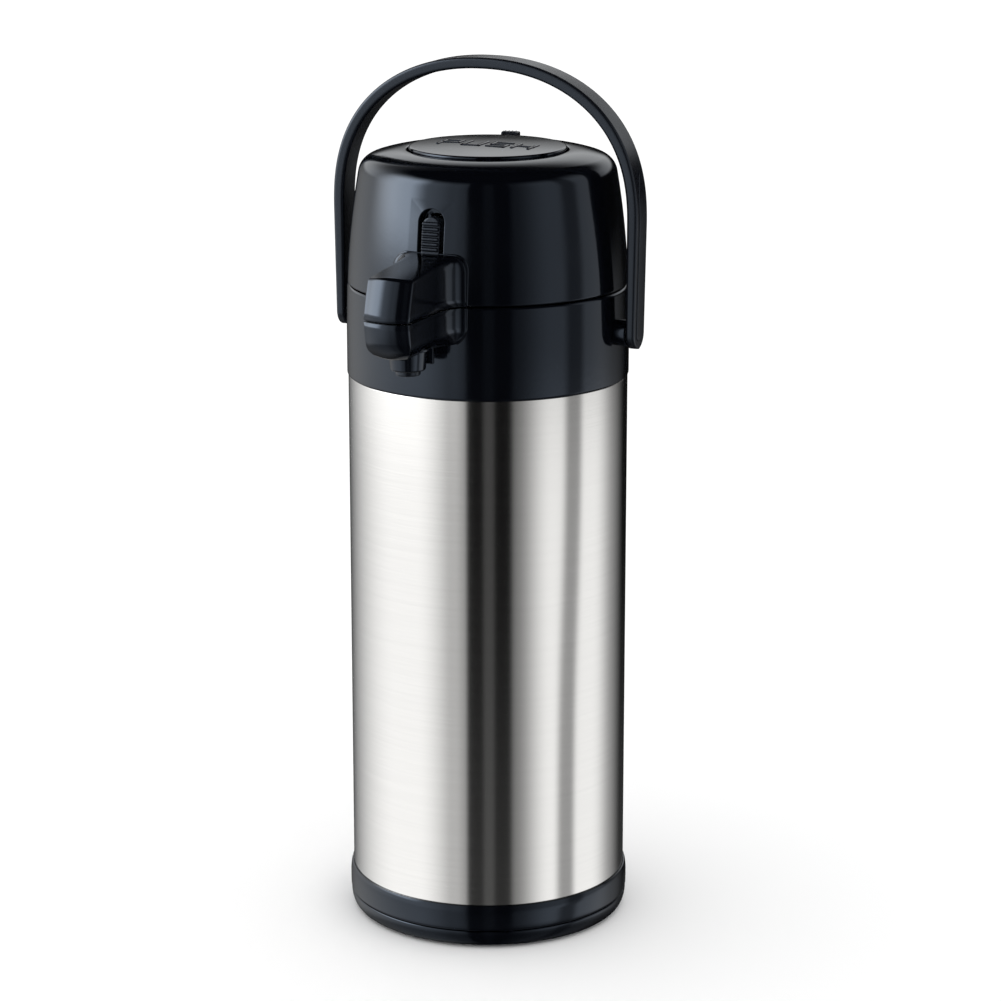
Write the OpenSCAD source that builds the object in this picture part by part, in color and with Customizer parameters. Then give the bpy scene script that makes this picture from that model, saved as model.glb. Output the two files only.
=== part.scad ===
// Thermal coffee airpot: a pump-action vacuum jug that turns on its own base.
// Millimetres, +Z up, origin on the pot's axis at table height, spout towards -Y.

/* [Steel shell] */
// Outer radius of the brushed steel shell
shell_r = 75; // [62:0.5:92]
// Height of steel that shows between the base and the collar
shell_h = 277.8; // [220:0.2:340]
// Thickness of the shell's sheet
shell_t = 0.6; // [0.5:0.1:1.0]

/* [Base] */
// Height of the whole base, from the table to its upper lip
base_h = 24.2; // [24:0.2:32]
// How far the base stands proud of the shell
base_proud = 1.7; // [1.2:0.1:3]
// Height of the turntable, which stays still while the pot turns
turntable_h = 9.5; // [8:0.1:10.5]
// How far the rubber foot lifts the turntable off the table
foot_lift = 1.5; // [1:0.1:2]
// Distance from the shell's surface in to the middle of the rubber foot
foot_inset = 11; // [8:0.5:16]
// Width of the rubber foot
foot_w = 8; // [6:0.5:10]
// Radius of the pivot that the pot turns on
pivot_r = 4; // [3:0.1:5]

/* [Flask] */
// Air gap between the shell and the glass flask
flask_gap = 6.4; // [4:0.1:10]
// Thickness of each glass wall
glass_t = 1.8; // [1.5:0.1:2.2]
// Gap between the flask's two glass walls
vacuum_gap = 3.6; // [3:0.1:4.5]
// Inside radius of the flask's neck
neck_r = 30; // [26:0.5:33]
// Height of the space under the flask, above the base's floor
flask_lift = 22.5; // [20:0.5:28]
// Outside radius of the dip tube
dip_r = 4.5; // [3.6:0.1:5]

/* [Collar] */
// Height of the black collar
collar_h = 49; // [44:0.5:60]
// How far the collar's foot stands proud of the shell
collar_proud = 0.6; // [0.4:0.1:2]
// Thickness of the collar's wall
collar_t = 2.6; // [2:0.1:3]
// Depth of the deck below the seam
deck_drop = 14; // [13:0.5:18]

/* [Lid] */
// Gap between the collar and the lid
seam_gap = 1; // [0.6:0.1:1.5]
// Height of the lid, from its lower edge to the rim of the button's recess
lid_h = 70.3; // [64:0.5:86]
// Thickness of the lid's wall
lid_t = 2.4; // [2:0.1:3]
// Radius of the rounded shoulder
shoulder_r = 10.4; // [6:0.2:14]
// Lean of the lid's side at its lower edge, in degrees
foot_lean = 2; // [1:0.5:4]
// Lean of the lid's side under the shoulder, in degrees
top_lean = 10; // [7:0.5:14]

/* [Pump button] */
// Radius of the button
button_r = 42; // [36:0.5:46]
// Gap round the button
button_gap = 1; // [0.6:0.1:1.5]
// Height of the button above the recess's rim
button_proud = 2.4; // [1.5:0.1:4]
// Stroke of the pump
button_travel = 18; // [12:0.5:20]
// Distance from the button's edge in to the bellows
bellows_inset = 6; // [5.5:0.5:10]

/* [Spout] */
// Width of the spout's nose
nose_w = 25.4; // [22:0.2:30]
// How far the spout reaches out from the collar
spout_out = 53.4; // [44:0.2:64]
// Distance from the collar to the middle of the nozzle
nozzle_out = 24.4; // [18:0.2:30]
// Width of the flange where the spout meets the head
flange_w = 42; // [36:0.5:46]
// Height of the upper cover at the head, above the seam
spout_up = 27.5; // [24:0.5:30]
// Depth of the lower cover below the seam
spout_down = 20; // [18:0.5:22]
// Outside radius of the outlet pipe
pipe_r = 5; // [4.2:0.1:5.2]

/* [Handle] */
// Width of the handle's strap
strap_w = 16; // [12:0.5:22]
// Thickness of the strap
strap_t = 6; // [4.6:0.1:7]
// Gap between the collar's foot and the handle's legs
leg_gap = 6.4; // [5:0.1:9]
// Height of the handle's top above its pivots
handle_rise = 141.5; // [136:0.5:165]
// Radius of the pins that the handle swings on
handle_pin_r = 3; // [2.5:0.1:4]

/* [Latch] */
// Width of the pocket that the latch slides in
pocket_w = 14; // [12:0.2:16]
// Height of the pocket
pocket_h = 24.5; // [23:0.5:28]
// Stroke of the latch
latch_travel = 3.5; // [3:0.1:3.5]

/* [Hidden] */
$fn = 96;

// clearances
run_fit = 0.05; // radial, round pieces that turn or slide on each other
seat_fit = 0.1; // between pieces that are assembled and stay
cut = 1; // how far a cutter runs past what it cuts

// colours
black_gloss = [0.09, 0.10, 0.13];
black_satin = [0.07, 0.07, 0.08];
steel = [0.75, 0.74, 0.72];
rubber = [0.12, 0.12, 0.12];
glass = [0.78, 0.82, 0.84];
white_plastic = [0.90, 0.90, 0.88];
silicone = [0.80, 0.80, 0.76];

// base
swivel_gap = 1; // between the turntable and the part that turns
floor_z = turntable_h + swivel_gap;
floor_t = 3;
floor_top = floor_z + floor_t;
shelf_z = floor_top + 2.5; // the shell's lower end rests here
foot_r = shell_r - foot_inset;
foot_groove = 1.5;
plate_t = 3; // turntable's plate
boss_r = 3.5 * pivot_r;
pivot_head_r = 2.2 * pivot_r;
pivot_head_t = 1.5;
pivot_head_z = foot_lift + 1.5;
hub_r = 3 * pivot_r;
hub_h = 4.7;
clip_t = 1.2;
clip_z = floor_z + hub_h + 0.2;
clip_groove_r = 0.8 * pivot_r;
base_screw_r = 1.5;
base_screw_count = 3;
screw_head_room = 0.2;

// flask
flask_r = shell_r - shell_t - flask_gap;
flask_z = floor_top + flask_lift;
flask_bend = 0.58 * flask_r; // radius of the flask's lower corner
neck_out = neck_r + glass_t + 1.4 + glass_t;
shoulder_bend = flask_r - neck_out - 1;
deck_t = 3;
gasket_t = 2;
cup_r = 0.7 * flask_r; // cup that carries the flask
cup_boss_at = cup_r + 3;
cup_top = floor_top + 0.74 * flask_lift;

// heights
collar_z = base_h + shell_h;
seam_z = collar_z + collar_h;
lid_z = seam_z + seam_gap;
deck_z = seam_z - deck_drop;
lip_top = deck_z - deck_t - gasket_t;
lip_t = 2;
rim_z = lid_z + lid_h;

// collar
collar_foot_r = shell_r + collar_proud;
collar_top_r = collar_foot_r - 0.6;
collar_in_r = shell_r - collar_t;
skirt_depth = 12;
mouth_r = neck_r - 1;

// lid
lid_foot_r = collar_top_r - 0.2;
crown_rise = 2.9;
crown_angle = 74;
recess_r = button_r + button_gap;
shoulder_top = rim_z - crown_rise;
side_top = shoulder_top - shoulder_r * (sin(crown_angle) - sin(top_lean));
side_bend = (side_top - lid_z) / (sin(top_lean) - sin(foot_lean));
side_x = lid_foot_r - side_bend * cos(foot_lean);
side_y = lid_z - side_bend * sin(foot_lean);
shoulder_x = side_x + (side_bend - shoulder_r) * cos(top_lean);
shoulder_y = side_y + (side_bend - shoulder_r) * sin(top_lean);
well_t = 2.2;
well_h = 24;
lid_base_t = 3;
lid_base_z = lid_z + 1;
lid_base_top = lid_base_z + lid_base_t;
lid_base_r = lid_foot_r - lid_t - 1.4;
pump_seat_h = 4;
bellows_z = lid_base_top + pump_seat_h;
bellows_r = button_r - bellows_inset;
bellows_flange_t = 2;
bellows_t = 1.5;
bellows_folds = 6;
boss_place_r = lid_foot_r - 14.5;
lid_screw_r = 1.5;

// button
button_top = rim_z + button_proud;
button_t = 2.4;
button_skirt = 20;
skirt_end = rim_z - button_skirt + 2;
cap_z = button_top - button_t - 4.4;
cap_t = 2.4;

// stopper and pipe
pipe_z = seam_z - 8;
pipe_bore = pipe_r - 1.5;
stopper_top = seam_z - 1.4;
stopper_r = neck_r + 10;
plug_r = neck_r - 3;
plug_z = lip_top - 13;
tube_top = lip_top - 2;
dip_wall = 1.3;

// spout
nose_half = nose_w / 2;
flange_half = flange_w / 2;
nose_bulge = 3;
spout_t = 2;
spout_slope = 7;
spout_reach = collar_foot_r + spout_out;
nozzle_y = collar_foot_r + nozzle_out;
nozzle_lip = 1.5; // flange that holds the nozzle in the cover
spout_root = collar_in_r + 0.4;
spout_bottom = seam_z - spout_down;
flange_proud = 1;
nozzle_r = 10;
tip_r = 6.4;
tip_z = spout_bottom - 11;

// handle
pivot_z = seam_z - 21.5;
leg_in = collar_foot_r + leg_gap;
leg_out = leg_in + strap_t;
arch_z = pivot_z + 58.5;
arch_n = 2.15;
leg_taper = 1.2;
handle_boss_r = 7;
bush_t = 2;
bush_depth = 0.62 * strap_t;

// hinge
hinge_y = collar_foot_r + 4.9;
hinge_z = lid_z;
hinge_pin_r = 2;
knuckle_r = 4.5;
knuckle_half = 20;
lid_knuckle_half = 8.6;

// latch
pocket_z = lid_z + 24;
pocket_depth = 6;
face_w = pocket_w - 4;
face_h = pocket_h - latch_travel - 0.5;
latch_y = shoulder_x + shoulder_r - 4.5; // back of the pocket, from the axis
pocket_wall = 3;
latch_spring_top = pocket_z + pocket_h + 0.8;
hook_y = latch_y - 8.6;
hook_z = lid_base_top + 3;
cam_y = 3.5; // from the hook's pin to the cam pin, at rest
cam_z = 10;
cam_r = 1.2;
hook_in = 7;
hook_out = 10;
hook_turn = 14.5;
keeper_y = collar_in_r - 6.2;
toe_y = keeper_y - 0.8;
toe_z = deck_z + 5.2;
latch_pin_r = 1.5;

// lock
lock_r = recess_r + 7.4;
lock_w = 13;
lock_at = 100; // degrees from +X, at rest
lock_turn = 20;
lock_under = rim_z - 8;
tongue_z = skirt_end - 3.2;
tongue_t = 2;

// points of an arc about [x, y], from angle a to angle b
function arc(x, y, r, a, b, n = 10) =
    [for (i = [0 : n]) [x + r * cos(a + (b - a) * i / n), y + r * sin(a + (b - a) * i / n)]];

function turned(points) = [for (i = [len(points) - 1 : -1 : 0]) points[i]];

function crown_points(t, n = 6) =
    let (start = shoulder_x + (shoulder_r - t) * cos(crown_angle))
    [for (i = [1 : n]) let (u = i / n)
        [start + (recess_r - start) * u, shoulder_top - t + crown_rise * (1 - (1 - u) * (1 - u))]];

// outline of the lid from its lower edge to the recess's rim, drawn in by t
function lid_outline(t) = concat(
    arc(side_x, side_y, side_bend - t, foot_lean, top_lean, 8),
    arc(shoulder_x, shoulder_y, shoulder_r - t, top_lean + 8, crown_angle, 8),
    crown_points(t)
);

// outline of the flask from its bottom to its neck, drawn in by t
function flask_outline(t, neck, top) = concat(
    [[0, flask_z + t]],
    arc(flask_r - flask_bend, flask_z + flask_bend, flask_bend - t, -90, 0, 12),
    arc(flask_r - shoulder_bend, lip_top - 20 - shoulder_bend, shoulder_bend - t, 0, 90, 12),
    [[neck, lip_top - 20 - t], [neck, top]]
);

// a ring or disc: inner and outer radius, lower and upper height
module ring(r_in, r_out, z_low, z_high) {
    rotate_extrude()
        translate([r_in, z_low])
            square([r_out - r_in, z_high - z_low]);
}

module rod_z(r, x, y, z_low, z_high) {
    translate([x, y, z_low])
        cylinder(r = r, h = z_high - z_low);
}

module rod_x(r, x_low, x_high, y, z) {
    translate([x_low, y, z])
        rotate([0, 90, 0])
            cylinder(r = r, h = x_high - x_low);
}

module rod_y(r, y_low, y_high, x, z) {
    translate([x, y_high, z])
        rotate([90, 0, 0])
            cylinder(r = r, h = y_high - y_low);
}

module box(low, high) {
    translate(low)
        cube(high - low);
}

// copies the child n times round the axis, first at angle a
module round_axis(n, a = 0) {
    for (i = [0 : n - 1])
        rotate([0, 0, a + 360 * i / n])
            children();
}

// a plate in the YZ plane, from x_low to x_high
module plate_x(points, x_low, x_high) {
    translate([x_low, 0, 0])
        rotate([90, 0, 90])
            linear_extrude(height = x_high - x_low)
                polygon(points);
}

// a plate in the XZ plane, from y_low to y_high
module plate_y(points, y_low, y_high) {
    translate([0, y_high, 0])
        rotate([90, 0, 0])
            linear_extrude(height = y_high - y_low)
                polygon(points);
}

// screw along +Z: head from z_low, then the shank to z_high
module screw(r, z_low, z_high) {
    rod_z(2 * r, 0, 0, z_low, z_low + 1.4);
    rod_z(r, 0, 0, z_low + 1.4, z_high);
}

// round wire wound about the axis, between two heights
module coil(r, wire, z_low, z_high, turns, steps = 16, sides = 6) {
    n = turns * steps;
    rise = z_high - z_low - 2 * wire;
    points = [for (i = [0 : n]) for (k = [0 : sides - 1])
        let (a = 360 * i / steps, b = 360 * k / sides, q = r + wire * cos(b))
        [q * cos(a), q * sin(a), z_low + wire + rise * i / n + wire * sin(b)]];
    walls = [for (i = [0 : n - 1]) for (k = [0 : sides - 1])
        let (m = (k + 1) % sides)
        [i * sides + k, (i + 1) * sides + k, (i + 1) * sides + m, i * sides + m]];
    ends = [
        [for (k = [0 : sides - 1]) k],
        [for (k = [sides - 1 : -1 : 0]) n * sides + k]
    ];
    polyhedron(points = points, faces = concat(walls, ends), convexity = 10);
}

// ---- turntable: stays on the table ----

module foot_ring() {
    color(rubber)
        ring(foot_r - foot_w / 2, foot_r + foot_w / 2, 0, foot_lift + foot_groove);
}

module swivel_base() {
    rim = shell_r + base_proud;
    skirt_in = foot_r - foot_w / 2 - 3;
    under = turntable_h - plate_t;
    section = [
        [pivot_r + seat_fit, turntable_h],
        [pivot_r + seat_fit, pivot_head_z + pivot_head_t],
        [boss_r, pivot_head_z + pivot_head_t],
        [boss_r, under],
        [skirt_in, under],
        [skirt_in, foot_lift],
        [rim - 2.4, foot_lift],
        [rim - 1.2, foot_lift + 1.2],
        [rim - 0.5, turntable_h]
    ];
    color(black_gloss)
        difference() {
            union() {
                rotate_extrude()
                    polygon(section);
                round_axis(8)
                    box([boss_r - 2, -1, pivot_head_z + pivot_head_t], [skirt_in + 1, 1, under + 1]);
            }
            ring(foot_r - foot_w / 2 - seat_fit, foot_r + foot_w / 2 + seat_fit,
                foot_lift - cut, foot_lift + foot_groove);
        }
}

module swivel_pivot() {
    color(steel)
        difference() {
            union() {
                rod_z(pivot_head_r, 0, 0, pivot_head_z, pivot_head_z + pivot_head_t);
                rod_z(pivot_r, 0, 0, pivot_head_z + pivot_head_t / 2, clip_z + clip_t + 1.5);
            }
            ring(clip_groove_r, pivot_r + cut, clip_z, clip_z + clip_t);
        }
}

module pivot_clip() {
    color(steel)
        difference() {
            ring(clip_groove_r + seat_fit, 2 * pivot_r, clip_z + 0.1, clip_z + clip_t - 0.1);
            box([0, -clip_groove_r, clip_z - cut],
                [2 * pivot_r + cut, clip_groove_r, clip_z + clip_t + cut]);
        }
}

module glide_ring() {
    glide_r = 0.68 * shell_r;
    color(white_plastic)
        ring(glide_r - 3, glide_r + 3, turntable_h, floor_z - 0.1);
}

// ---- vessel: turns on the base ----

module base_ring() {
    rim = shell_r + base_proud;
    section = [
        [pivot_r + run_fit, floor_z],
        [rim - 0.8, floor_z],
        [rim - 0.2, floor_z + 1.2],
        [rim, floor_z + 4],
        [rim, base_h - 4],
        [rim - 0.2, base_h - 1],
        [rim - 0.6, base_h],
        [shell_r + seat_fit, base_h],
        [shell_r + seat_fit, shelf_z],
        [shell_r - 3, shelf_z],
        [shell_r - 3, floor_top],
        [hub_r, floor_top],
        [hub_r, floor_z + hub_h],
        [pivot_r + run_fit, floor_z + hub_h]
    ];
    color(black_gloss)
        difference() {
            rotate_extrude()
                polygon(section);
            round_axis(base_screw_count, 30)
                translate([cup_boss_at, 0, 0]) {
                    rod_z(base_screw_r + seat_fit, 0, 0, floor_z - cut, floor_top + cut);
                    rod_z(2 * base_screw_r + screw_head_room, 0, 0, floor_z - cut, floor_z + 1.7);
                }
        }
}

module base_screws() {
    color(steel)
        round_axis(base_screw_count, 30)
            translate([cup_boss_at, 0, 0])
                screw(base_screw_r, floor_z + 0.3, floor_top + 10);
}

module outer_shell() {
    color(steel)
        ring(shell_r - shell_t, shell_r, shelf_z, collar_z);
}

module liner_cup() {
    color(white_plastic)
        difference() {
            union() {
                ring(cup_r - 2.5, cup_r, floor_top, cup_top);
                ring(cup_r - 7, cup_r + 6, cup_top - 2.5, cup_top);
                round_axis(base_screw_count, 30)
                    rod_z(4.5, cup_boss_at, 0, floor_top, cup_top - 1);
            }
            round_axis(base_screw_count, 30)
                rod_z(base_screw_r + 0.02, cup_boss_at, 0, floor_top - cut, floor_top + 10.5);
        }
}

module liner_cushion() {
    bend_r = flask_bend + seat_fit;
    mid = flask_r - flask_bend;
    a_in = -acos((cup_r - 7 - mid) / bend_r);
    a_out = -acos((cup_r + 6 - mid) / bend_r);
    color(rubber)
        rotate_extrude()
            polygon(concat(
                [[cup_r - 7, cup_top], [cup_r + 6, cup_top]],
                turned(arc(mid, flask_z + flask_bend, bend_r, a_in, a_out, 8))
            ));
}

module flask_outer() {
    color(glass)
        union() {
            rotate_extrude()
                polygon(concat(
                    flask_outline(0, neck_out, lip_top - lip_t),
                    turned(flask_outline(glass_t, neck_out - glass_t, lip_top - lip_t))
                ));
            translate([0, 0, flask_z - 7])
                cylinder(r1 = 1.5, r2 = 5, h = 7 + glass_t / 2);
        }
}

module flask_inner() {
    inset = glass_t + vacuum_gap;
    color(glass)
        rotate_extrude()
            polygon(concat(
                flask_outline(inset, neck_r + glass_t, lip_top - lip_t),
                [[neck_out, lip_top - lip_t], [neck_out, lip_top - 0.5], [neck_out - 0.5, lip_top]],
                turned(flask_outline(inset + glass_t, neck_r, lip_top))
            ));
}

module vacuum_spacers() {
    color(white_plastic)
        round_axis(3)
            rod_z(3.5, 16, 0, flask_z + glass_t, flask_z + glass_t + vacuum_gap);
}

module neck_gasket() {
    color(silicone)
        ring(neck_r, neck_out, lip_top, lip_top + gasket_t);
}

module collar() {
    deck_low = deck_z - deck_t;
    guide_in = neck_out + 0.6;
    section = [
        [mouth_r, deck_low],
        [guide_in, deck_low],
        [guide_in, deck_low - 14],
        [guide_in + 2, deck_low - 14],
        [guide_in + 2, deck_low],
        [collar_in_r, deck_low],
        [collar_in_r, collar_z - skirt_depth],
        [shell_r - shell_t - 0.2, collar_z - skirt_depth],
        [shell_r - shell_t - 0.2, collar_z],
        [collar_foot_r - 0.4, collar_z],
        [collar_foot_r, collar_z + 0.5],
        [collar_foot_r, pivot_z],
        [collar_top_r, seam_z - 0.6],
        [collar_top_r - 0.6, seam_z],
        [collar_in_r, seam_z],
        [collar_in_r, deck_z],
        [mouth_r, deck_z]
    ];
    color(black_gloss)
        difference() {
            union() {
                rotate_extrude()
                    polygon(section);
                for (side = [0, 180])
                    rotate([0, 0, side])
                        rod_x(handle_boss_r, collar_in_r - 1, leg_in - 0.8, 0, pivot_z);
                for (side = [-1, 1]) {
                    low = side > 0 ? lid_knuckle_half + 0.4 : -knuckle_half;
                    high = side > 0 ? knuckle_half : -lid_knuckle_half - 0.4;
                    rod_x(knuckle_r, low, high, hinge_y, hinge_z);
                    box([low, collar_in_r - 3, hinge_z - knuckle_r - 3], [high, hinge_y, seam_z - 0.5]);
                }
            }
            for (side = [0, 180])
                rotate([0, 0, side])
                    rod_x(handle_pin_r + 0.02, collar_in_r - 2 - cut, leg_in + cut, 0, pivot_z);
            rod_x(hinge_pin_r + 0.02, -knuckle_half - cut, knuckle_half + cut, hinge_y, hinge_z);
            rod_y(pipe_r + 1.2, -collar_foot_r - cut, -collar_in_r + 4, 0, pipe_z);
        }
}

// plan of the spout's nose and its concave flanks, drawn in by t
function spout_plan(t) =
    let (flare = flange_half - nose_half - 1, tip = spout_reach - nose_bulge,
        flank = [for (i = [0 : 8]) let (a = 90 * i / 8)
            [nose_half - t + flare * (1 - sin(a)), -spout_root - 2.6 * flare * (1 - cos(a))]],
        front = [for (i = [1 : 7]) let (u = 1 - 2 * i / 8)
            [(nose_half - t) * u, -tip + t - nose_bulge * (1 - u * u)]])
    concat(
        [for (i = [len(flank) - 1 : -1 : 0]) [-flank[i][0], flank[i][1]]],
        flank,
        [[nose_half - t, -tip + t]],
        front,
        [[-nose_half + t, -tip + t]]
    );

// the spout seen from the side: y and z, drawn in by t
function spout_side(t) =
    let (lead = 12 - t, low = spout_bottom + t, tip = spout_reach - t)
    concat(
        [[-spout_root + 8, low]],
        [[-spout_root + 8, seam_z + spout_up - t], [-spout_root - 4, seam_z + spout_up - t]],
        [[-tip + 4, seam_z + spout_up - spout_slope - t], [-tip, seam_z + spout_up - spout_slope - t - 0.8]],
        arc(-tip + lead, low + lead, lead, 180, 270, 8)
    );

// the spout seen from the front: x and z, drawn in by t
function spout_front(t) =
    let (half = flange_half + 1 - t, low = spout_bottom + t, round = 9 - t)
    concat(
        [[half, seam_z + spout_up], [-half, seam_z + spout_up]],
        [[-half, low + 14]],
        arc(-nose_half + t + round, low + round, round, 200, 270, 6),
        arc(nose_half - t - round, low + round, round, 270, 340, 6),
        [[half, low + 14]]
    );

module spout_form(t) {
    intersection() {
        translate([0, 0, spout_bottom - cut])
            linear_extrude(height = spout_down + spout_up + 2 * cut)
                polygon(spout_plan(t));
        plate_x(spout_side(t), -flange_half - cut, flange_half + cut);
        plate_y(spout_front(t), -spout_reach - cut, cut);
    }
}

// everything inside the head's outer surface, grown by t
module head_solid(t) {
    rotate_extrude()
        polygon(concat(
            [[0, collar_z - 5], [collar_foot_r + t, collar_z - 5]],
            [[collar_foot_r + t, pivot_z], [collar_top_r + t, seam_z], [collar_top_r + t, lid_z]],
            lid_outline(-t),
            [[0, rim_z + t]]
        ));
}

// the flange that laps onto the head, with rounded corners
module spout_flange(z_low, z_high) {
    corner = 8;
    intersection() {
        difference() {
            head_solid(flange_proud);
            head_solid(0.02);
        }
        translate([0, -spout_root + 20, 0])
            rotate([90, 0, 0])
                linear_extrude(height = 60)
                    intersection() {
                        union() {
                            for (side = [-1, 1])
                                for (z = [spout_bottom + 2 + corner, seam_z + spout_up - corner])
                                    translate([side * (flange_half - corner), z])
                                        circle(r = corner);
                            translate([-flange_half, spout_bottom + 2 + corner])
                                square([flange_w, spout_up + spout_down - 2 - 2 * corner]);
                            translate([-flange_half + corner, spout_bottom + 2])
                                square([flange_w - 2 * corner, spout_up + spout_down - 2]);
                        }
                        translate([-flange_half - cut, z_low])
                            square([flange_w + 2 * cut, z_high - z_low]);
                    }
    }
}

module spout_lower_cover() {
    color(black_gloss)
        difference() {
            union() {
                difference() {
                    spout_form(0);
                    spout_form(spout_t);
                    head_solid(0.02);
                }
                spout_flange(spout_bottom, seam_z);
            }
            box([-60, -spout_reach - 5, seam_z], [60, 0, rim_z]);
            rod_z(nozzle_r + seat_fit, 0, -nozzle_y, spout_bottom - cut, spout_bottom + spout_t + cut);
            rod_z(nozzle_r + nozzle_lip + seat_fit, 0, -nozzle_y, spout_bottom + spout_t,
                spout_bottom + spout_t + nozzle_lip + seat_fit);
            rod_y(pipe_r + 1.2, -collar_foot_r - 4, -collar_in_r + 4, 0, pipe_z);
        }
}

module outlet_pipe() {
    color(white_plastic)
        difference() {
            union() {
                rod_y(pipe_r, -nozzle_y, 0, 0, pipe_z);
                rod_z(pipe_r, 0, 0, tube_top, pipe_z);
                rod_z(pipe_r, 0, -nozzle_y, pipe_z - 5.5, pipe_z);
                for (y = [0, -nozzle_y])
                    translate([0, y, pipe_z])
                        sphere(r = pipe_r);
            }
            rod_y(pipe_bore, -nozzle_y, 0, 0, pipe_z);
            rod_z(pipe_bore, 0, 0, tube_top - cut, pipe_z);
            rod_z(pipe_bore, 0, -nozzle_y, pipe_z - 6.5, pipe_z);
            for (y = [0, -nozzle_y])
                translate([0, y, pipe_z])
                    sphere(r = pipe_bore);
        }
}

module nozzle() {
    color(black_gloss)
        rotate_extrude_at(nozzle_y, [
            [tip_r + seat_fit, spout_bottom - 8.4],
            [nozzle_r - 1.8, spout_bottom - 8.4],
            [nozzle_r - 1, spout_bottom - 7.6],
            [nozzle_r, spout_bottom + spout_t],
            [nozzle_r + nozzle_lip, spout_bottom + spout_t],
            [nozzle_r + nozzle_lip, spout_bottom + spout_t + nozzle_lip],
            [tip_r + seat_fit, spout_bottom + spout_t + nozzle_lip]
        ]);
}

// a turned piece round the nozzle's axis
module rotate_extrude_at(y, section) {
    translate([0, -y, 0])
        rotate_extrude()
            polygon(section);
}

module nozzle_tip() {
    top = pipe_z - 5.6;
    color(black_satin)
        rotate_extrude_at(nozzle_y, [
            [tip_r - 1.6, tip_z],
            [tip_r - 0.4, tip_z],
            [tip_r, tip_z + 0.6],
            [tip_r, spout_bottom + spout_t + 1.5],
            [tip_r, top],
            [pipe_bore, top],
            [pipe_bore, top - 1.6],
            [tip_r - 1.6, top - 4]
        ]);
}

module dip_tube() {
    foot = flask_z + glass_t * 2 + vacuum_gap + 4;
    color(white_plastic)
        difference() {
            ring(dip_r - dip_wall, dip_r, foot, tube_top);
            rotate([35, 0, 0])
                translate([-10, -10, foot * cos(35) - 14])
                    cube([20, 20, 14]);
        }
}

module stopper() {
    air_y = 0.6 * neck_r;
    section = [
        [0, plug_z],
        [plug_r - 1, plug_z],
        [plug_r, plug_z + 1],
        [plug_r, deck_z + 0.05],
        [stopper_r, deck_z + 0.05],
        [stopper_r, stopper_top - 1],
        [stopper_r - 1, stopper_top],
        [0, stopper_top]
    ];
    color(black_satin)
        difference() {
            rotate_extrude()
                polygon(section);
            rod_z(dip_r + 0.02, 0, 0, plug_z - cut, tube_top);
            rod_z(pipe_r + 0.02, 0, 0, tube_top - 0.01, pipe_z);
            rod_y(pipe_r + 0.02, -stopper_r - cut, 0, 0, pipe_z);
            translate([0, 0, pipe_z])
                sphere(r = pipe_r + 0.02);
            rod_z(4, 0, air_y, plug_z - cut, stopper_top + cut);
            ring(plug_r - 2, plug_r + cut, plug_z + 4, plug_z + 8);
        }
}

module stopper_seal() {
    color(silicone)
        ring(plug_r - 2 + 0.02, neck_r - 0.05, plug_z + 4.05, plug_z + 7.95);
}

module handle_pins() {
    color(steel)
        for (side = [0, 180])
            rotate([0, 0, side])
                rod_x(handle_pin_r, collar_in_r - 2, leg_in + bush_depth - 0.5, 0, pivot_z);
}

module latch_keeper() {
    color(steel)
        difference() {
            intersection() {
                for (side = [-1, 1])
                    scale([side, 1, 1])
                        box([pipe_r + 1.6, -collar_in_r - 2, deck_z + 8],
                            [pipe_r + 7, -keeper_y, deck_z + 11.5]);
                ring(0, collar_in_r - 0.02, deck_z, seam_z);
            }
            rod_z(0.8, pipe_r + 4.3, -keeper_y - 3, deck_z, seam_z);
            rod_z(0.8, -pipe_r - 4.3, -keeper_y - 3, deck_z, seam_z);
        }
}

// ---- lid ----

module lid_solid(t) {
    rotate_extrude()
        polygon(concat(
            [[0, lid_z - (t > 0 ? cut : 0)]],
            t > 0 ? [[lid_foot_r - t, lid_z - cut]] : [],
            lid_outline(t),
            [[0, rim_z - t]]
        ));
}

// opening of the pocket seen from the front, drawn in by t
module pocket_shape(t) {
    half = pocket_w / 2 - t;
    union() {
        translate([-half, pocket_z + t])
            square([2 * half, pocket_h - pocket_w / 2 - t]);
        translate([0, pocket_z + pocket_h - pocket_w / 2])
            circle(r = half);
    }
}

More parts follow.
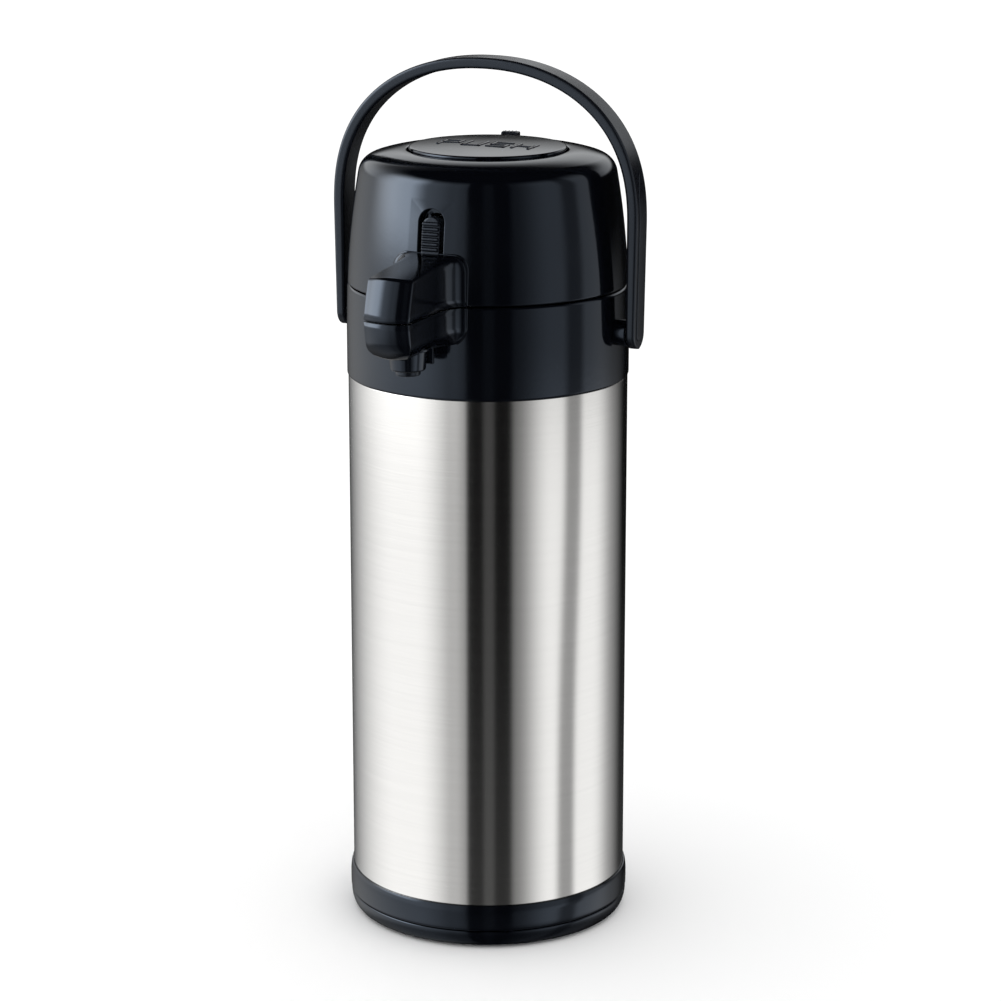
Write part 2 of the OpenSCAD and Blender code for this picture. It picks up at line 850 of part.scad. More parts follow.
module lid_shell() {
    pocket_top = pocket_z + pocket_h;
    color(black_gloss)
        difference() {
            union() {
                difference() {
                    lid_solid(0);
                    lid_solid(lid_t);
                }
                intersection() {
                    lid_solid(lid_t / 2);
                    union() {
                        ring(recess_r, recess_r + well_t, rim_z - well_h, rim_z + cut);
                        round_axis(4, 45)
                            rod_z(4, boss_place_r, 0, lid_base_top + seat_fit, rim_z);
                        box([-pocket_w / 2 - 2.5, -lid_foot_r, pocket_z - 1.5],
                            [pocket_w / 2 + 2.5, -latch_y + pocket_wall, pocket_top + 3]);
                        box([-4, -latch_y + cut, latch_spring_top],
                            [4, -latch_y + pocket_wall + 5.6, pocket_top + 3]);
                    }
                }
                difference() {
                    union() {
                        rod_x(knuckle_r, -lid_knuckle_half, lid_knuckle_half, hinge_y, hinge_z);
                        box([-lid_knuckle_half, lid_foot_r - lid_t, lid_z],
                            [lid_knuckle_half, hinge_y, hinge_z + knuckle_r]);
                    }
                    ring(0, lid_foot_r - 1.5, lid_z - 10, lid_z + 10);
                }
            }
            ring(0, recess_r, rim_z - well_h - cut, rim_z + 5);
            rod_x(hinge_pin_r + run_fit, -lid_knuckle_half - cut, lid_knuckle_half + cut, hinge_y, hinge_z);
            round_axis(4, 45)
                rod_z(lid_screw_r + 0.02, boss_place_r, 0, lid_base_top, lid_base_top + 14);
            translate([0, -latch_y, 0])
                rotate([90, 0, 0])
                    linear_extrude(height = 30)
                        pocket_shape(0);
            box([-3.6, -latch_y - cut, pocket_z + 2], [3.6, -latch_y + pocket_wall + cut, pocket_top - 3]);
            lock_slot(rim_z - 12, rim_z + 5, 1.2);
            lock_window();
        }
}

// arc slot in the crown for the lock's tab, wider than the tab by gap
module lock_slot(z_low, z_high, gap) {
    half = lock_w / 2 + gap;
    spread = asin(half / lock_r);
    intersection() {
        ring(lock_r - 3 - 0.4, lock_r + 3 + 0.4, z_low, z_high);
        linear_extrude(height = z_high + cut)
            polygon(concat(
                [[0, 0]],
                arc(0, 0, 2 * lock_r, lock_at - spread - lock_turn, lock_at + spread, 8)
            ));
    }
}

// window in the button's well for the lock's tongue
module lock_window() {
    intersection() {
        ring(recess_r - cut, recess_r + well_t + cut, tongue_z - 0.5, lock_under + 0.6);
        linear_extrude(height = rim_z)
            polygon(concat(
                [[0, 0]],
                arc(0, 0, 2 * lock_r, lock_at - lock_turn - 10, lock_at + 10, 8)
            ));
    }
}

module spout_upper_cover() {
    color(black_gloss)
        difference() {
            union() {
                difference() {
                    spout_form(0);
                    spout_form(spout_t);
                    head_solid(0.02);
                }
                spout_flange(lid_z, rim_z);
            }
            box([-60, -spout_reach - 5, spout_bottom - 5], [60, 0, lid_z]);
        }
}

module lid_base() {
    seat_in = bellows_r - 6;
    section = [
        [2.2, lid_base_z],
        [lid_base_r, lid_base_z],
        [lid_base_r, lid_base_top],
        [bellows_r + 8, lid_base_top],
        [bellows_r + 8, bellows_z],
        [seat_in, bellows_z],
        [seat_in, lid_base_top],
        [2.2, lid_base_top]
    ];
    lug_in = hook_out + 0.5;
    color(black_satin)
        difference() {
            union() {
                rotate_extrude()
                    polygon(section);
                for (side = [-1, 1])
                    scale([side, 1, 1])
                        difference() {
                            union() {
                                rod_x(3, lug_in, lug_in + 3, -hook_y, hook_z);
                                box([lug_in, -hook_y - 3, lid_base_top - 1],
                                    [lug_in + 3, -hook_y + 3, hook_z]);
                            }
                            rod_x(latch_pin_r + 0.02, lug_in - cut, lug_in + 3 + cut, -hook_y, hook_z);
                        }
            }
            box([-hook_out - 0.3, -lid_base_r - cut, lid_base_z - cut],
                [hook_out + 0.3, -bellows_r - 9, lid_base_top + cut]);
            round_axis(6)
                rod_z(2, 7, 0, lid_base_z - cut, lid_base_top + cut);
            round_axis(4, 45) {
                rod_z(lid_screw_r + seat_fit, boss_place_r, 0, lid_base_z - cut, lid_base_top + cut);
                rod_z(2 * lid_screw_r + screw_head_room, boss_place_r, 0,
                    lid_base_z - cut, lid_base_z + 1.5);
            }
        }
}

module lid_screws() {
    color(steel)
        round_axis(4, 45)
            translate([boss_place_r, 0, 0])
                screw(lid_screw_r, lid_base_z + 0.1, lid_base_top + 13);
}

module lid_seal() {
    seal_r = neck_r + 5.5;
    color(silicone)
        rotate_extrude()
            polygon([
                [seal_r - 2.5, stopper_top + 0.1],
                [seal_r + 2.5, stopper_top + 0.1],
                [seal_r + 1.6, lid_base_z],
                [seal_r - 1.6, lid_base_z]
            ]);
}

// outline of the pleated bellows, drawn in by t
function pleats(t) =
    let (low = bellows_z + bellows_flange_t, high = cap_z - 1.5, n = 2 * bellows_folds)
    [for (i = [0 : n]) [bellows_r - (i % 2 == 0 ? 6 : 0) - t, low + (high - low) * i / n]];

module bellows() {
    color(rubber)
        rotate_extrude()
            polygon(concat(
                [[bellows_r - 6 - bellows_t, bellows_z], [bellows_r + 4, bellows_z]],
                [[bellows_r + 4, bellows_z + bellows_flange_t - 0.4]],
                pleats(0),
                [[bellows_r - 4, cap_z], [bellows_r - 6 - bellows_t, cap_z]],
                turned(pleats(bellows_t))
            ));
}

module bellows_clamp() {
    low = bellows_z + bellows_flange_t;
    color(black_satin)
        difference() {
            ring(bellows_r + 0.8, bellows_r + 8, low, low + 2.5);
            ring(bellows_r, bellows_r + 4.2, low - cut, low + 0.1);
        }
}

module valve_flap() {
    color(silicone)
        union() {
            ring(0, 11, lid_base_z - 1.2, lid_base_z - 0.1);
            rod_z(2, 0, 0, lid_base_z - 0.6, lid_base_top + 0.2);
            ring(0, 3.4, lid_base_top + 0.1, lid_base_top + 1.4);
        }
}

module return_spring() {
    color(steel)
        coil(16, 1, lid_base_top + 0.1, cap_z - 0.1, 7);
}

module hinge_pin() {
    color(steel)
        rod_x(hinge_pin_r, -knuckle_half - 0.5, knuckle_half + 0.5, hinge_y, hinge_z);
}

module latch_pin() {
    color(steel)
        rod_x(latch_pin_r, -hook_out - 3.5, hook_out + 3.5, -hook_y, hook_z);
}

module latch_spring() {
    low = pocket_z + 14.6;
    color(steel)
        translate([0, -latch_y + pocket_wall + 2.7, 0])
            coil(2, 0.35, low, latch_spring_top, 6, 12);
}

// ---- pump button ----

module push_button() {
    edge = 1.2;
    sag = 0.7;
    dome = [for (i = [0 : 6]) let (u = i / 6)
        [(button_r - edge) * u, button_top - sag * u * u]];
    section = concat(
        [[0, button_top - button_t]],
        dome,
        arc(button_r - edge, button_top - sag - edge, edge, 80, 0, 5),
        [[button_r, skirt_end], [button_r - 2, skirt_end], [button_r - 2, button_top - button_t - 1]],
        [[button_r - 3, button_top - button_t]]
    );
    notch = lock_w / 2 + 1.5;
    color(black_gloss)
        difference() {
            union() {
                rotate_extrude()
                    polygon(section);
                ring(9, 11, cap_z + cap_t, button_top - button_t + 0.5);
            }
            rotate([0, 0, lock_at - 90])
                box([-notch, 20, skirt_end - cut], [notch, button_r + cut, skirt_end + button_travel - 1]);
        }
}

module bellows_cap() {
    color(black_satin)
        difference() {
            union() {
                ring(0, bellows_r + 1, cap_z, cap_z + cap_t);
                ring(11.1, 13, cap_z + cap_t - 0.5, cap_z + cap_t + 1.5);
            }
            rod_z(1.5, 0, 0, cap_z - cut, cap_z + cap_t + cut);
        }
}

// ---- latch and lock ----

module lid_latch() {
    back = -latch_y + pocket_wall;
    ribs = 7;
    pitch = (face_h - 5) / ribs;
    color(black_satin)
        union() {
            translate([0, -latch_y - 0.2, 0])
                rotate([90, 0, 0])
                    linear_extrude(height = 4.6)
                        intersection() {
                            translate([0, 1.5 - latch_travel])
                                pocket_shape((pocket_w - face_w) / 2);
                            translate([-face_w / 2, pocket_z + 0.4])
                                square([face_w, face_h]);
                        }
            for (i = [0 : ribs - 1])
                box([-face_w / 2 + 0.8, -latch_y - 5.6, pocket_z + 2 + pitch * i],
                    [face_w / 2 - 0.8, -latch_y - 4, pitch * (i + 0.5) + pocket_z + 2]);
            box([-3.2, -latch_y - 1, pocket_z + 4], [3.2, back + 1, pocket_z + 13]);
            box([-5.8, back + 0.2, hook_z + cam_z - 2], [5.8, back + 2.6, pocket_z + 14.2]);
            rod_x(cam_r, -hook_out, hook_out, -hook_y - cam_y, hook_z + cam_z);
        }
}

module latch_hook() {
    far_y = cam_y * cos(hook_turn) - (cam_z + latch_travel) * sin(hook_turn);
    far_z = cam_y * sin(hook_turn) + (cam_z + latch_travel) * cos(hook_turn);
    slot_r = cam_r + 0.35;
    reach = norm([cam_y - far_y, far_z - cam_z]);
    lean = atan2(cam_y - far_y, far_z - cam_z);
    leg = toe_y - 1.5;
    side_plate = [
        [-toe_y, toe_z],
        [-leg + 3, toe_z],
        [-leg + 3, lid_base_z],
        [-hook_y + 3.5, hook_z - 1],
        [-hook_y + 3.5, hook_z + 16.4],
        [-hook_y - 1, hook_z + 16.4],
        [-hook_y - 7, hook_z + 12.5],
        [-hook_y - 7, hook_z + 6],
        [-hook_y - 4, hook_z],
        [-leg, lid_base_z],
        [-leg, toe_z + 2.6],
        [-toe_y, toe_z + 1.4]
    ];
    color(black_satin)
        union() {
            for (side = [-1, 1])
                scale([side, 1, 1])
                    difference() {
                        plate_x(side_plate, hook_in, hook_out - 0.2);
                        rod_x(latch_pin_r + run_fit, hook_in - cut, hook_out + cut, -hook_y, hook_z);
                        translate([0, -hook_y - cam_y, hook_z + cam_z])
                            rotate([-lean, 0, 0]) {
                                rod_x(slot_r, hook_in - cut, hook_out + cut, 0, 0);
                                rod_x(slot_r, hook_in - cut, hook_out + cut, 0, reach);
                                box([hook_in - cut, -slot_r, 0], [hook_out + cut, slot_r, reach]);
                            }
                    }
            rod_x(1.6, -hook_in - 1, hook_in + 1, -hook_y + 1.6, hook_z + 5);
        }
}

module lock_slider() {
    spread = asin(lock_w / 2 / lock_r);
    color(black_satin)
        rotate([0, 0, lock_at])
            union() {
                intersection() {
                    ring(lock_r - 3, lock_r + 3, lock_under, rim_z + 2.2);
                    box([0, -lock_w / 2, lock_under], [2 * lock_r, lock_w / 2, rim_z + 5]);
                }
                intersection() {
                    ring(recess_r + well_t + 0.5, lock_r + 5, lock_under - 2, lock_under + 0.5);
                    box([0, -lock_w / 2 - 2, 0], [2 * lock_r, lock_w / 2 + 2, rim_z]);
                }
                box([recess_r + well_t + 0.5, -3.5, tongue_z], [recess_r + well_t + 3, 3.5, lock_under]);
                box([button_r - 2.5, -3.5, tongue_z], [recess_r + well_t + 3, 3.5, tongue_z + tongue_t]);
            }
}

// ---- handle ----

// half-round arch: half-width a, rise b above arch_z
function arch(a, b, n = 40) =
    [for (i = [0 : n]) let (t = 180 * i / n, c = cos(t), s = sin(t))
        [a * sign(c) * pow(abs(c), 2 / arch_n), arch_z + b * pow(abs(s), 2 / arch_n)]];

// outline of the strap seen from the front, its outer side grown by t
function strap_outline(t) =
    let (foot = pivot_z - strap_w / 2 - cut, top = pivot_z + handle_rise - arch_z)
    concat(
        [[leg_out - leg_taper + t, foot]],
        arch(leg_out + t, top + t),
        [[-leg_out + leg_taper - t, foot], [-leg_in, foot]],
        turned(arch(leg_in, top - strap_t)),
        [[leg_in, foot]]
    );

module handle_strap() {
    panel_w = 0.55 * strap_w;
    panel_top = arch_z + 26;
    panel_low = pivot_z - 3;
    rib = 0.5;
    color(black_satin)
        difference() {
            union() {
                intersection() {
                    plate_y(strap_outline(0), -strap_w / 2, strap_w / 2);
                    union() {
                        rod_x(strap_w / 2, -leg_out - cut, leg_out + cut, 0, pivot_z);
                        box([-leg_out - cut, -strap_w / 2, pivot_z],
                            [leg_out + cut, strap_w / 2, pivot_z + handle_rise + cut]);
                    }
                }
                intersection() {
                    plate_y(strap_outline(rib), -strap_w / 2, strap_w / 2);
                    plate_x([
                        [-panel_w / 2, panel_low],
                        [panel_w / 2, panel_low],
                        [panel_w / 2, panel_top - 12],
                        [0, panel_top],
                        [-panel_w / 2, panel_top - 12]
                    ], -leg_out - 2, leg_out + 2);
                    union() {
                        box([-leg_out - 2, -strap_w, panel_low], [-leg_out / 2, strap_w, panel_top]);
                        box([leg_out / 2, -strap_w, panel_low], [leg_out + 2, strap_w, panel_top]);
                    }
                }
            }
            for (side = [0, 180])
                rotate([0, 0, side])
                    rod_x(handle_pin_r + bush_t + 0.02, leg_in - cut, leg_in + bush_depth, 0, pivot_z);
        }
}

module handle_bushes() {
    color(white_plastic)
        for (side = [0, 180])
            rotate([0, 0, side])
                difference() {
                    rod_x(handle_pin_r + bush_t, leg_in, leg_in + bush_depth, 0, pivot_z);
                    rod_x(handle_pin_r + run_fit, leg_in - cut, leg_in + bush_depth + cut, 0, pivot_z);
                }
}

foot_ring();
swivel_base();
swivel_pivot();
pivot_clip();
glide_ring();
base_ring();
base_screws();
outer_shell();
liner_cup();
liner_cushion();
flask_outer();
flask_inner();
vacuum_spacers();
neck_gasket();
collar();
spout_lower_cover();
outlet_pipe();
nozzle();
nozzle_tip();
dip_tube();
stopper();
stopper_seal();
handle_pins();
latch_keeper();
lid_shell();
spout_upper_cover();
lid_base();
lid_screws();
lid_seal();
bellows();
bellows_clamp();
valve_flap();
return_spring();
hinge_pin();
latch_pin();
latch_spring();
push_button();
bellows_cap();
lid_latch();
latch_hook();
lock_slider();
handle_strap();
handle_bushes();
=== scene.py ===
"""Thermal coffee airpot: brushed steel shell, black collar, lid, spout, strap handle and turntable."""

import math

import bmesh
import bpy
import numpy as np
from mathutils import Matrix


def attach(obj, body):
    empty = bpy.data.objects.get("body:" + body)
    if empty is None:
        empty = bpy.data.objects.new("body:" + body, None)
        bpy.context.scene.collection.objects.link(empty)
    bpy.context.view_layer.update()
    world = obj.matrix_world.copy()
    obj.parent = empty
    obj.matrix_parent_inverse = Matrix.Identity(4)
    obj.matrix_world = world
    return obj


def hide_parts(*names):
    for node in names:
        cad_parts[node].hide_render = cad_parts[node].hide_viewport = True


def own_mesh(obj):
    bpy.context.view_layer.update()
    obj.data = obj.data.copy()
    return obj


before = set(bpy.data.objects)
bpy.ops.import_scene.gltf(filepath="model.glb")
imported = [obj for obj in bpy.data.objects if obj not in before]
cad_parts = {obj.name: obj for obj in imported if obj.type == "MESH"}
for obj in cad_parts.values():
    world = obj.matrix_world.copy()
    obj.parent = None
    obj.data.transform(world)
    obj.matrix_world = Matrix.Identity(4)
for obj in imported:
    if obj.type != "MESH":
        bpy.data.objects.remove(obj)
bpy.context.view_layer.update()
MM = 0.001

# ---------------------------------------------------------------------------
# Camera: a long lens in front of the pot, a little to its right and above it.
# ---------------------------------------------------------------------------
scene = bpy.context.scene
camera = bpy.data.objects.new("camera", bpy.data.cameras.new("camera"))
scene.collection.objects.link(camera)
camera.location = (0.6864, -1.5418, 0.6677)
camera.rotation_euler = (math.radians(75.464), 0, math.radians(23.771))
camera.data.lens = 115.38
camera.data.sensor_width = 36
scene.camera = camera
scene.view_settings.view_transform = "Standard"


# ---------------------------------------------------------------------------
# Studio: a white sweep, with the black object lit by soft boxes to the left,
# the right and behind. The boxes stand at fixed bearings round the pot, and
# only its shiny surfaces mirror them.
# ---------------------------------------------------------------------------
class Link:
    """An output inside a node tree. Arithmetic on it adds Math nodes."""

    def __init__(self, tree, socket):
        self.tree = tree
        self.socket = socket

    def maths(self, operation, *values):
        return self.tree.add(
            "ShaderNodeMath", {"operation": operation}, dict(enumerate(values))
        )

    def __add__(self, other):
        return self.maths("ADD", self, other)

    def __sub__(self, other):
        return self.maths("SUBTRACT", self, other)

    def __rsub__(self, other):
        return self.maths("SUBTRACT", other, self)

    def __mul__(self, other):
        return self.maths("MULTIPLY", self, other)

    def __pow__(self, other):
        return self.maths("POWER", self, other)

    __radd__ = __add__
    __rmul__ = __mul__

    def rise(self, low, high):
        """0 below low, 1 above high, and a smooth step between them."""
        return self.tree.add(
            "ShaderNodeMapRange",
            {"interpolation_type": "SMOOTHSTEP"},
            {"Value": self, "From Min": low, "From Max": high},
        )

    def span(self, a, b, c, d):
        """Rises from a to b, and falls again from c to d."""
        return self.rise(a, b) * (1 - self.rise(c, d))


class Tree:
    """A shader node tree that starts empty."""

    def __init__(self, nodes):
        self.nodes = nodes
        nodes.nodes.clear()

    def add(self, kind, settings=None, inputs=None, output=0):
        made = self.nodes.nodes.new(kind)
        for name, value in (settings or {}).items():
            setattr(made, name, value)
        for name, value in (inputs or {}).items():
            if isinstance(value, Link):
                self.nodes.links.new(value.socket, made.inputs[name])
            else:
                made.inputs[name].default_value = value
        return Link(self, made.outputs[output] if len(made.outputs) else None)


world = bpy.data.worlds.new("studio")
scene.world = world
world.use_nodes = True
world.cycles.sampling_method = "NONE"
studio = Tree(world.node_tree)
to_light = studio.add("ShaderNodeTexCoord", output="Generated")
split = {
    axis: studio.add("ShaderNodeSeparateXYZ", {}, {"Vector": to_light}, axis)
    for axis in "XYZ"
}
bearing = split["X"].maths("ARCTAN2", split["X"], 0 - split["Y"]) * (180 / math.pi) - 24
bearing = bearing.maths("WRAP", bearing, 180, -180)
height = split["Z"].maths("ARCSINE", split["Z"]) * (180 / math.pi)
left_box = (1.42 * bearing.span(-180, -84, -62, -6) + 0.25 * bearing.span(-34, -25, -19, -16))
left_box = left_box * (1 - bearing.rise(-19, -16))
left_box = left_box * (0.25 * height.rise(-14, -12) + 1)
left_box = left_box + 5.6 * bearing.span(-122, -86, -73, -53) * height.rise(-7, 3)
leaning = bearing + 6 * (1 - height.rise(-19, -14))
dip = 1 - 0.68 * leaning.span(62, 71, 79, 87)
right_box = 1.32 * dip * (0.2 * bearing.rise(17, 23) + 0.8 * bearing.rise(21, 54))
right_box = right_box * (1 - bearing.rise(102, 152)) * (1 - 0.45 * bearing.rise(96, 126))
right_box = right_box * (1 - 0.4 * height.rise(-13.5, -11.5)) * (0.6 * height.rise(-29, -24) + 0.4)
right_box = right_box * (1 - bearing.rise(105, 112) * height.rise(-10, -4))
slit = 0.075 * bearing.span(-6, -2, 3, 7)
floor_glow = 0.045 * (1 - height.rise(-25, -14)) + 0.006
low_end = (0.65 * height.rise(-36, -24) + 0.35) * height.rise(-88, -66)
sides = (left_box + right_box + slit + floor_glow) * (1 - height.rise(28, 52)) * low_end
back_box = bearing.maths("ABSOLUTE", bearing).rise(100, 140) * height.span(5, 12, 19, 36)
glow = sides + 0.9 * back_box
tint = studio.add(
    "ShaderNodeCombineColor", {}, {"Red": glow * 0.97, "Green": glow * 0.985, "Blue": glow}
)
paths = {
    name: studio.add("ShaderNodeLightPath", output=name)
    for name in ("Is Camera Ray", "Is Glossy Ray")
}
mirrored = studio.add(
    "ShaderNodeMix",
    {"data_type": "RGBA"},
    {"Factor": paths["Is Glossy Ray"], 6: (1.14, 1.14, 1.14, 1), 7: tint},
    2,
)
seen = studio.add(
    "ShaderNodeMix",
    {"data_type": "RGBA"},
    {"Factor": paths["Is Camera Ray"], 6: mirrored, 7: (1, 1, 1, 1)},
    2,
)
background = studio.add("ShaderNodeBackground", {}, {"Color": seen, "Strength": 1})
studio.add("ShaderNodeOutputWorld", {}, {"Surface": background})


def principled(name, constants, colour=None, rough=None, bump=None):
    """A material with one Principled shader; colour, rough and bump may vary."""
    made = bpy.data.materials.new(name)
    made.use_nodes = True
    tree = Tree(made.node_tree)
    place = tree.add("ShaderNodeTexCoord", output="Object")
    inputs = dict(constants)
    if colour:
        inputs["Base Color"] = colour(tree, place)
    if rough:
        inputs["Roughness"] = rough(tree, place)
    if bump:
        depth, relief = bump
        inputs["Normal"] = tree.add(
            "ShaderNodeBump",
            {},
            {"Strength": 1, "Distance": depth, "Height": relief(tree, place)},
        )
    surface = tree.add("ShaderNodeBsdfPrincipled", {}, inputs)
    tree.add("ShaderNodeOutputMaterial", {}, {"Surface": surface})
    return made


def noise(tree, place, scale, stretch=(1, 1, 1), detail=3.0):
    """Noise over object coordinates, 0 to 1, stretched along the axes."""
    shaped = tree.add(
        "ShaderNodeMapping", {"vector_type": "POINT"}, {"Vector": place, "Scale": stretch}
    )
    return tree.add(
        "ShaderNodeTexNoise", {}, {"Vector": shaped, "Scale": scale, "Detail": detail}
    )


pale = principled(
    "sweep_paper",
    {"Base Color": (0.96, 0.96, 0.96, 1), "Specular IOR Level": 0},
    rough=lambda t, p: noise(t, p, 3) * 0.1 + 0.85,
)
bpy.ops.mesh.primitive_circle_add(vertices=96, radius=6, fill_type="NGON", location=(0, 0, 0))
floor = bpy.context.object
floor.name = "floor"
floor.data.materials.append(pale)
floor.visible_glossy = False


# ---------------------------------------------------------------------------
# Base: a moulded turntable on a rubber foot, and above it the base ring that
# the steel shell stands in. Both are black ABS and are turned shapes with
# softened edges. Three screws under the ring hold the flask's cup.
# ---------------------------------------------------------------------------
def smudged(low, high):
    """Roughness of a glossy surface with faint wiped patches."""
    return lambda t, p: noise(t, p, 26, detail=5).rise(0.42, 0.72) * (high - low) + low


gloss_black = principled(
    "gloss_black",
    {"Base Color": (0.0012, 0.0015, 0.0026, 1), "IOR": 1.47, "Specular Tint": (0.68, 0.81, 1, 1)},
    rough=smudged(0.09, 0.15),
    bump=(0.00001, lambda t, p: noise(t, p, 330, detail=1)),
)
satin_black = principled(
    "satin_black",
    {"Base Color": (0.0035, 0.004, 0.006, 1), "IOR": 1.42, "Specular Tint": (0.72, 0.84, 1, 1)},
    rough=smudged(0.21, 0.28),
    bump=(0.00003, lambda t, p: noise(t, p, 2600, detail=2)),
)
rubber = principled(
    "black_rubber",
    {"Base Color": (0.02, 0.02, 0.021, 1), "Specular IOR Level": 0.35},
    rough=lambda t, p: noise(t, p, 60) * 0.15 + 0.62,
    bump=(0.00006, lambda t, p: noise(t, p, 1500)),
)
plated = principled(
    "plated_steel",
    {"Base Color": (0.66, 0.66, 0.67, 1), "Metallic": 1},
    rough=lambda t, p: noise(t, p, 300) * 0.12 + 0.2,
)
white_plastic = principled(
    "white_plastic",
    {"Base Color": (0.78, 0.77, 0.74, 1)},
    rough=lambda t, p: noise(t, p, 90) * 0.12 + 0.36,
    bump=(0.00002, lambda t, p: noise(t, p, 1800)),
)
silicone = principled(
    "silicone",
    {"Base Color": (0.68, 0.68, 0.64, 1), "Specular IOR Level": 0.4},
    rough=lambda t, p: noise(t, p, 120) * 0.12 + 0.5,
)
glass = principled(
    "silvered_glass",
    {"Base Color": (0.80, 0.81, 0.82, 1), "Metallic": 1},
    rough=lambda t, p: noise(t, p, 40) * 0.05 + 0.05,
)
SLOTS = {
    "gloss_black": gloss_black,
    "satin_black": satin_black,
    "black_rubber": rubber,
    "plated_steel": plated,
    "white_plastic": white_plastic,
    "silicone": silicone,
    "silvered_glass": glass,
}


def dress(slot_name, *nodes):
    """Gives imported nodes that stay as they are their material."""
    for name in nodes:
        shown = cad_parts[name]
        shown.data.materials.clear()
        shown.data.materials.append(SLOTS[slot_name])


def piece(name, points, faces, slot_name, body, *nodes):
    """A smooth piece from points in millimetres, on a body, in place of nodes."""
    mesh = bpy.data.meshes.new(name)
    mesh.from_pydata([[c * MM for c in p] for p in points], [], faces)
    work = bmesh.new()
    work.from_mesh(mesh)
    bmesh.ops.remove_doubles(work, verts=work.verts, dist=1e-7)
    bmesh.ops.recalc_face_normals(work, faces=work.faces)
    work.to_mesh(mesh)
    work.free()
    mesh.shade_smooth()
    mesh.materials.append(SLOTS[slot_name])
    made = bpy.data.objects.new(name, mesh)
    scene.collection.objects.link(made)
    made.modifiers.new("even", "WEIGHTED_NORMAL").keep_sharp = True
    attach(made, body)
    if nodes:
        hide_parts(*nodes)
    return made


def arc(x, y, r, a, b, n=8):
    """Points of an arc about x, y from angle a to b in degrees."""
    return [
        (x + r * math.cos(math.radians(t)), y + r * math.sin(math.radians(t)))
        for t in np.linspace(a, b, n + 1)
    ]


def softened(points, bend, n=4):
    """A closed outline with its corners rounded off to about bend."""
    out = []
    for i, p in enumerate(points):
        p = np.array(p, float)
        before = np.array(points[i - 1], float) - p
        after = np.array(points[(i + 1) % len(points)], float) - p
        la, lb = np.linalg.norm(before), np.linalg.norm(after)
        keep = p[0] < 1e-6 or before @ after / (la * lb) < -0.97
        if keep:
            out.append(tuple(p))
            continue
        d = min(bend, 0.42 * la, 0.42 * lb)
        a, b = p + before / la * d, p + after / lb * d
        for t in np.linspace(0, 1, n + 1):
            out.append(tuple((1 - t) ** 2 * a + 2 * t * (1 - t) * p + t * t * b))
    return out


def spun(outline, n=192, centre=(0, 0)):
    """Points and faces of a closed outline of (radius, height) turned about an axis."""
    rows = len(outline)
    points = [
        (centre[0] + r * math.cos(t), centre[1] + r * math.sin(t), z)
        for t in np.arange(n) * 2 * math.pi / n
        for r, z in outline
    ]
    faces = [
        (i * rows + j, (i + 1) % n * rows + j, (i + 1) % n * rows + (j + 1) % rows, i * rows + (j + 1) % rows)
        for i in range(n)
        for j in range(rows)
        if max(outline[j][0], outline[(j + 1) % rows][0]) > 1e-6
    ]
    return points, faces


def joined(*parts):
    """Several (points, faces) as one."""
    points, faces = [], []
    for some_points, some_faces in parts:
        faces += [tuple(v + len(points) for v in f) for f in some_faces]
        points += list(some_points)
    return points, faces


def rod_x(r, low, high, y, z, bend=0.5, n=48):
    """A round rod along X with softened ends."""
    outline = [(0, low), (r - bend, low), (r - 0.3 * bend, low + 0.3 * bend), (r, low + bend)]
    outline += [(r, high - bend), (r - 0.3 * bend, high - 0.3 * bend), (r - bend, high), (0, high)]
    points, faces = spun(outline, n)
    return [(px, y + a, z + b) for a, b, px in points], faces


def block(low, high, bend=0.4):
    """A box with its edges cut back by bend."""
    points, faces = [], []
    layers = [(low[2], bend), (low[2] + bend, 0), (high[2] - bend, 0), (high[2], bend)]
    for z, t in layers:
        x0, x1, y0, y1 = low[0] + t, high[0] - t, low[1] + t, high[1] - t
        k = bend
        points += [(x0 + k, y0, z), (x1 - k, y0, z), (x1, y0 + k, z), (x1, y1 - k, z)]
        points += [(x1 - k, y1, z), (x0 + k, y1, z), (x0, y1 - k, z), (x0, y0 + k, z)]
    for i in range(3):
        faces += [(8 * i + j, 8 * i + (j + 1) % 8, 8 * i + 8 + (j + 1) % 8, 8 * i + 8 + j) for j in range(8)]
    faces += [tuple(range(7, -1, -1)), tuple(range(24, 32))]
    return points, faces


dress("black_rubber", "foot_ring", "liner_cushion", "bellows")
dress("white_plastic", "glide_ring", "liner_cup", "outlet_pipe", "dip_tube", "vacuum_spacers")
dress("white_plastic", "handle_bushes")
dress("plated_steel", "swivel_pivot", "pivot_clip", "base_screws", "handle_pins", "latch_keeper")
dress("plated_steel", "lid_screws", "return_spring", "hinge_pin", "latch_pin", "latch_spring")
dress("silicone", "neck_gasket", "stopper_seal", "lid_seal", "valve_flap")
dress("silvered_glass", "flask_outer", "flask_inner")
dress("satin_black", "stopper", "lid_base", "bellows_clamp", "bellows_cap", "latch_hook")

RIM = 76.7
SHELL_R, SHELL_TOP = 75.0, 302.0
turntable = [(4.1, 9.5), (4.1, 4.5), (14, 4.5), (14, 6.5), (57, 6.5), (57, 1.5), (59.9, 1.5), (59.9, 3)]
turntable += [(68.1, 3), (68.1, 1.5)]
turntable += [(RIM - 3.8 + 3.5 * math.sin(t), 10.1 - 8.6 * math.cos(t)) for t in np.linspace(0, 1.5, 12)]
turntable += [(RIM - 0.5, 10.1), (RIM - 3, 10.1), (RIM - 3.4, 9.5)]
ribs = []
for k in range(8):
    turn = math.radians(45 * k)
    points, faces = block((12, -1, 4.5), (58, 1, 7.5), 0.3)
    points = [
        (x * math.cos(turn) - y * math.sin(turn), x * math.sin(turn) + y * math.cos(turn), z)
        for x, y, z in points
    ]
    ribs.append((points, faces))
disc = joined(spun(softened(turntable, 0.5)), *ribs)
piece("turntable_disc", *disc, "gloss_black", "turntable", "swivel_base")

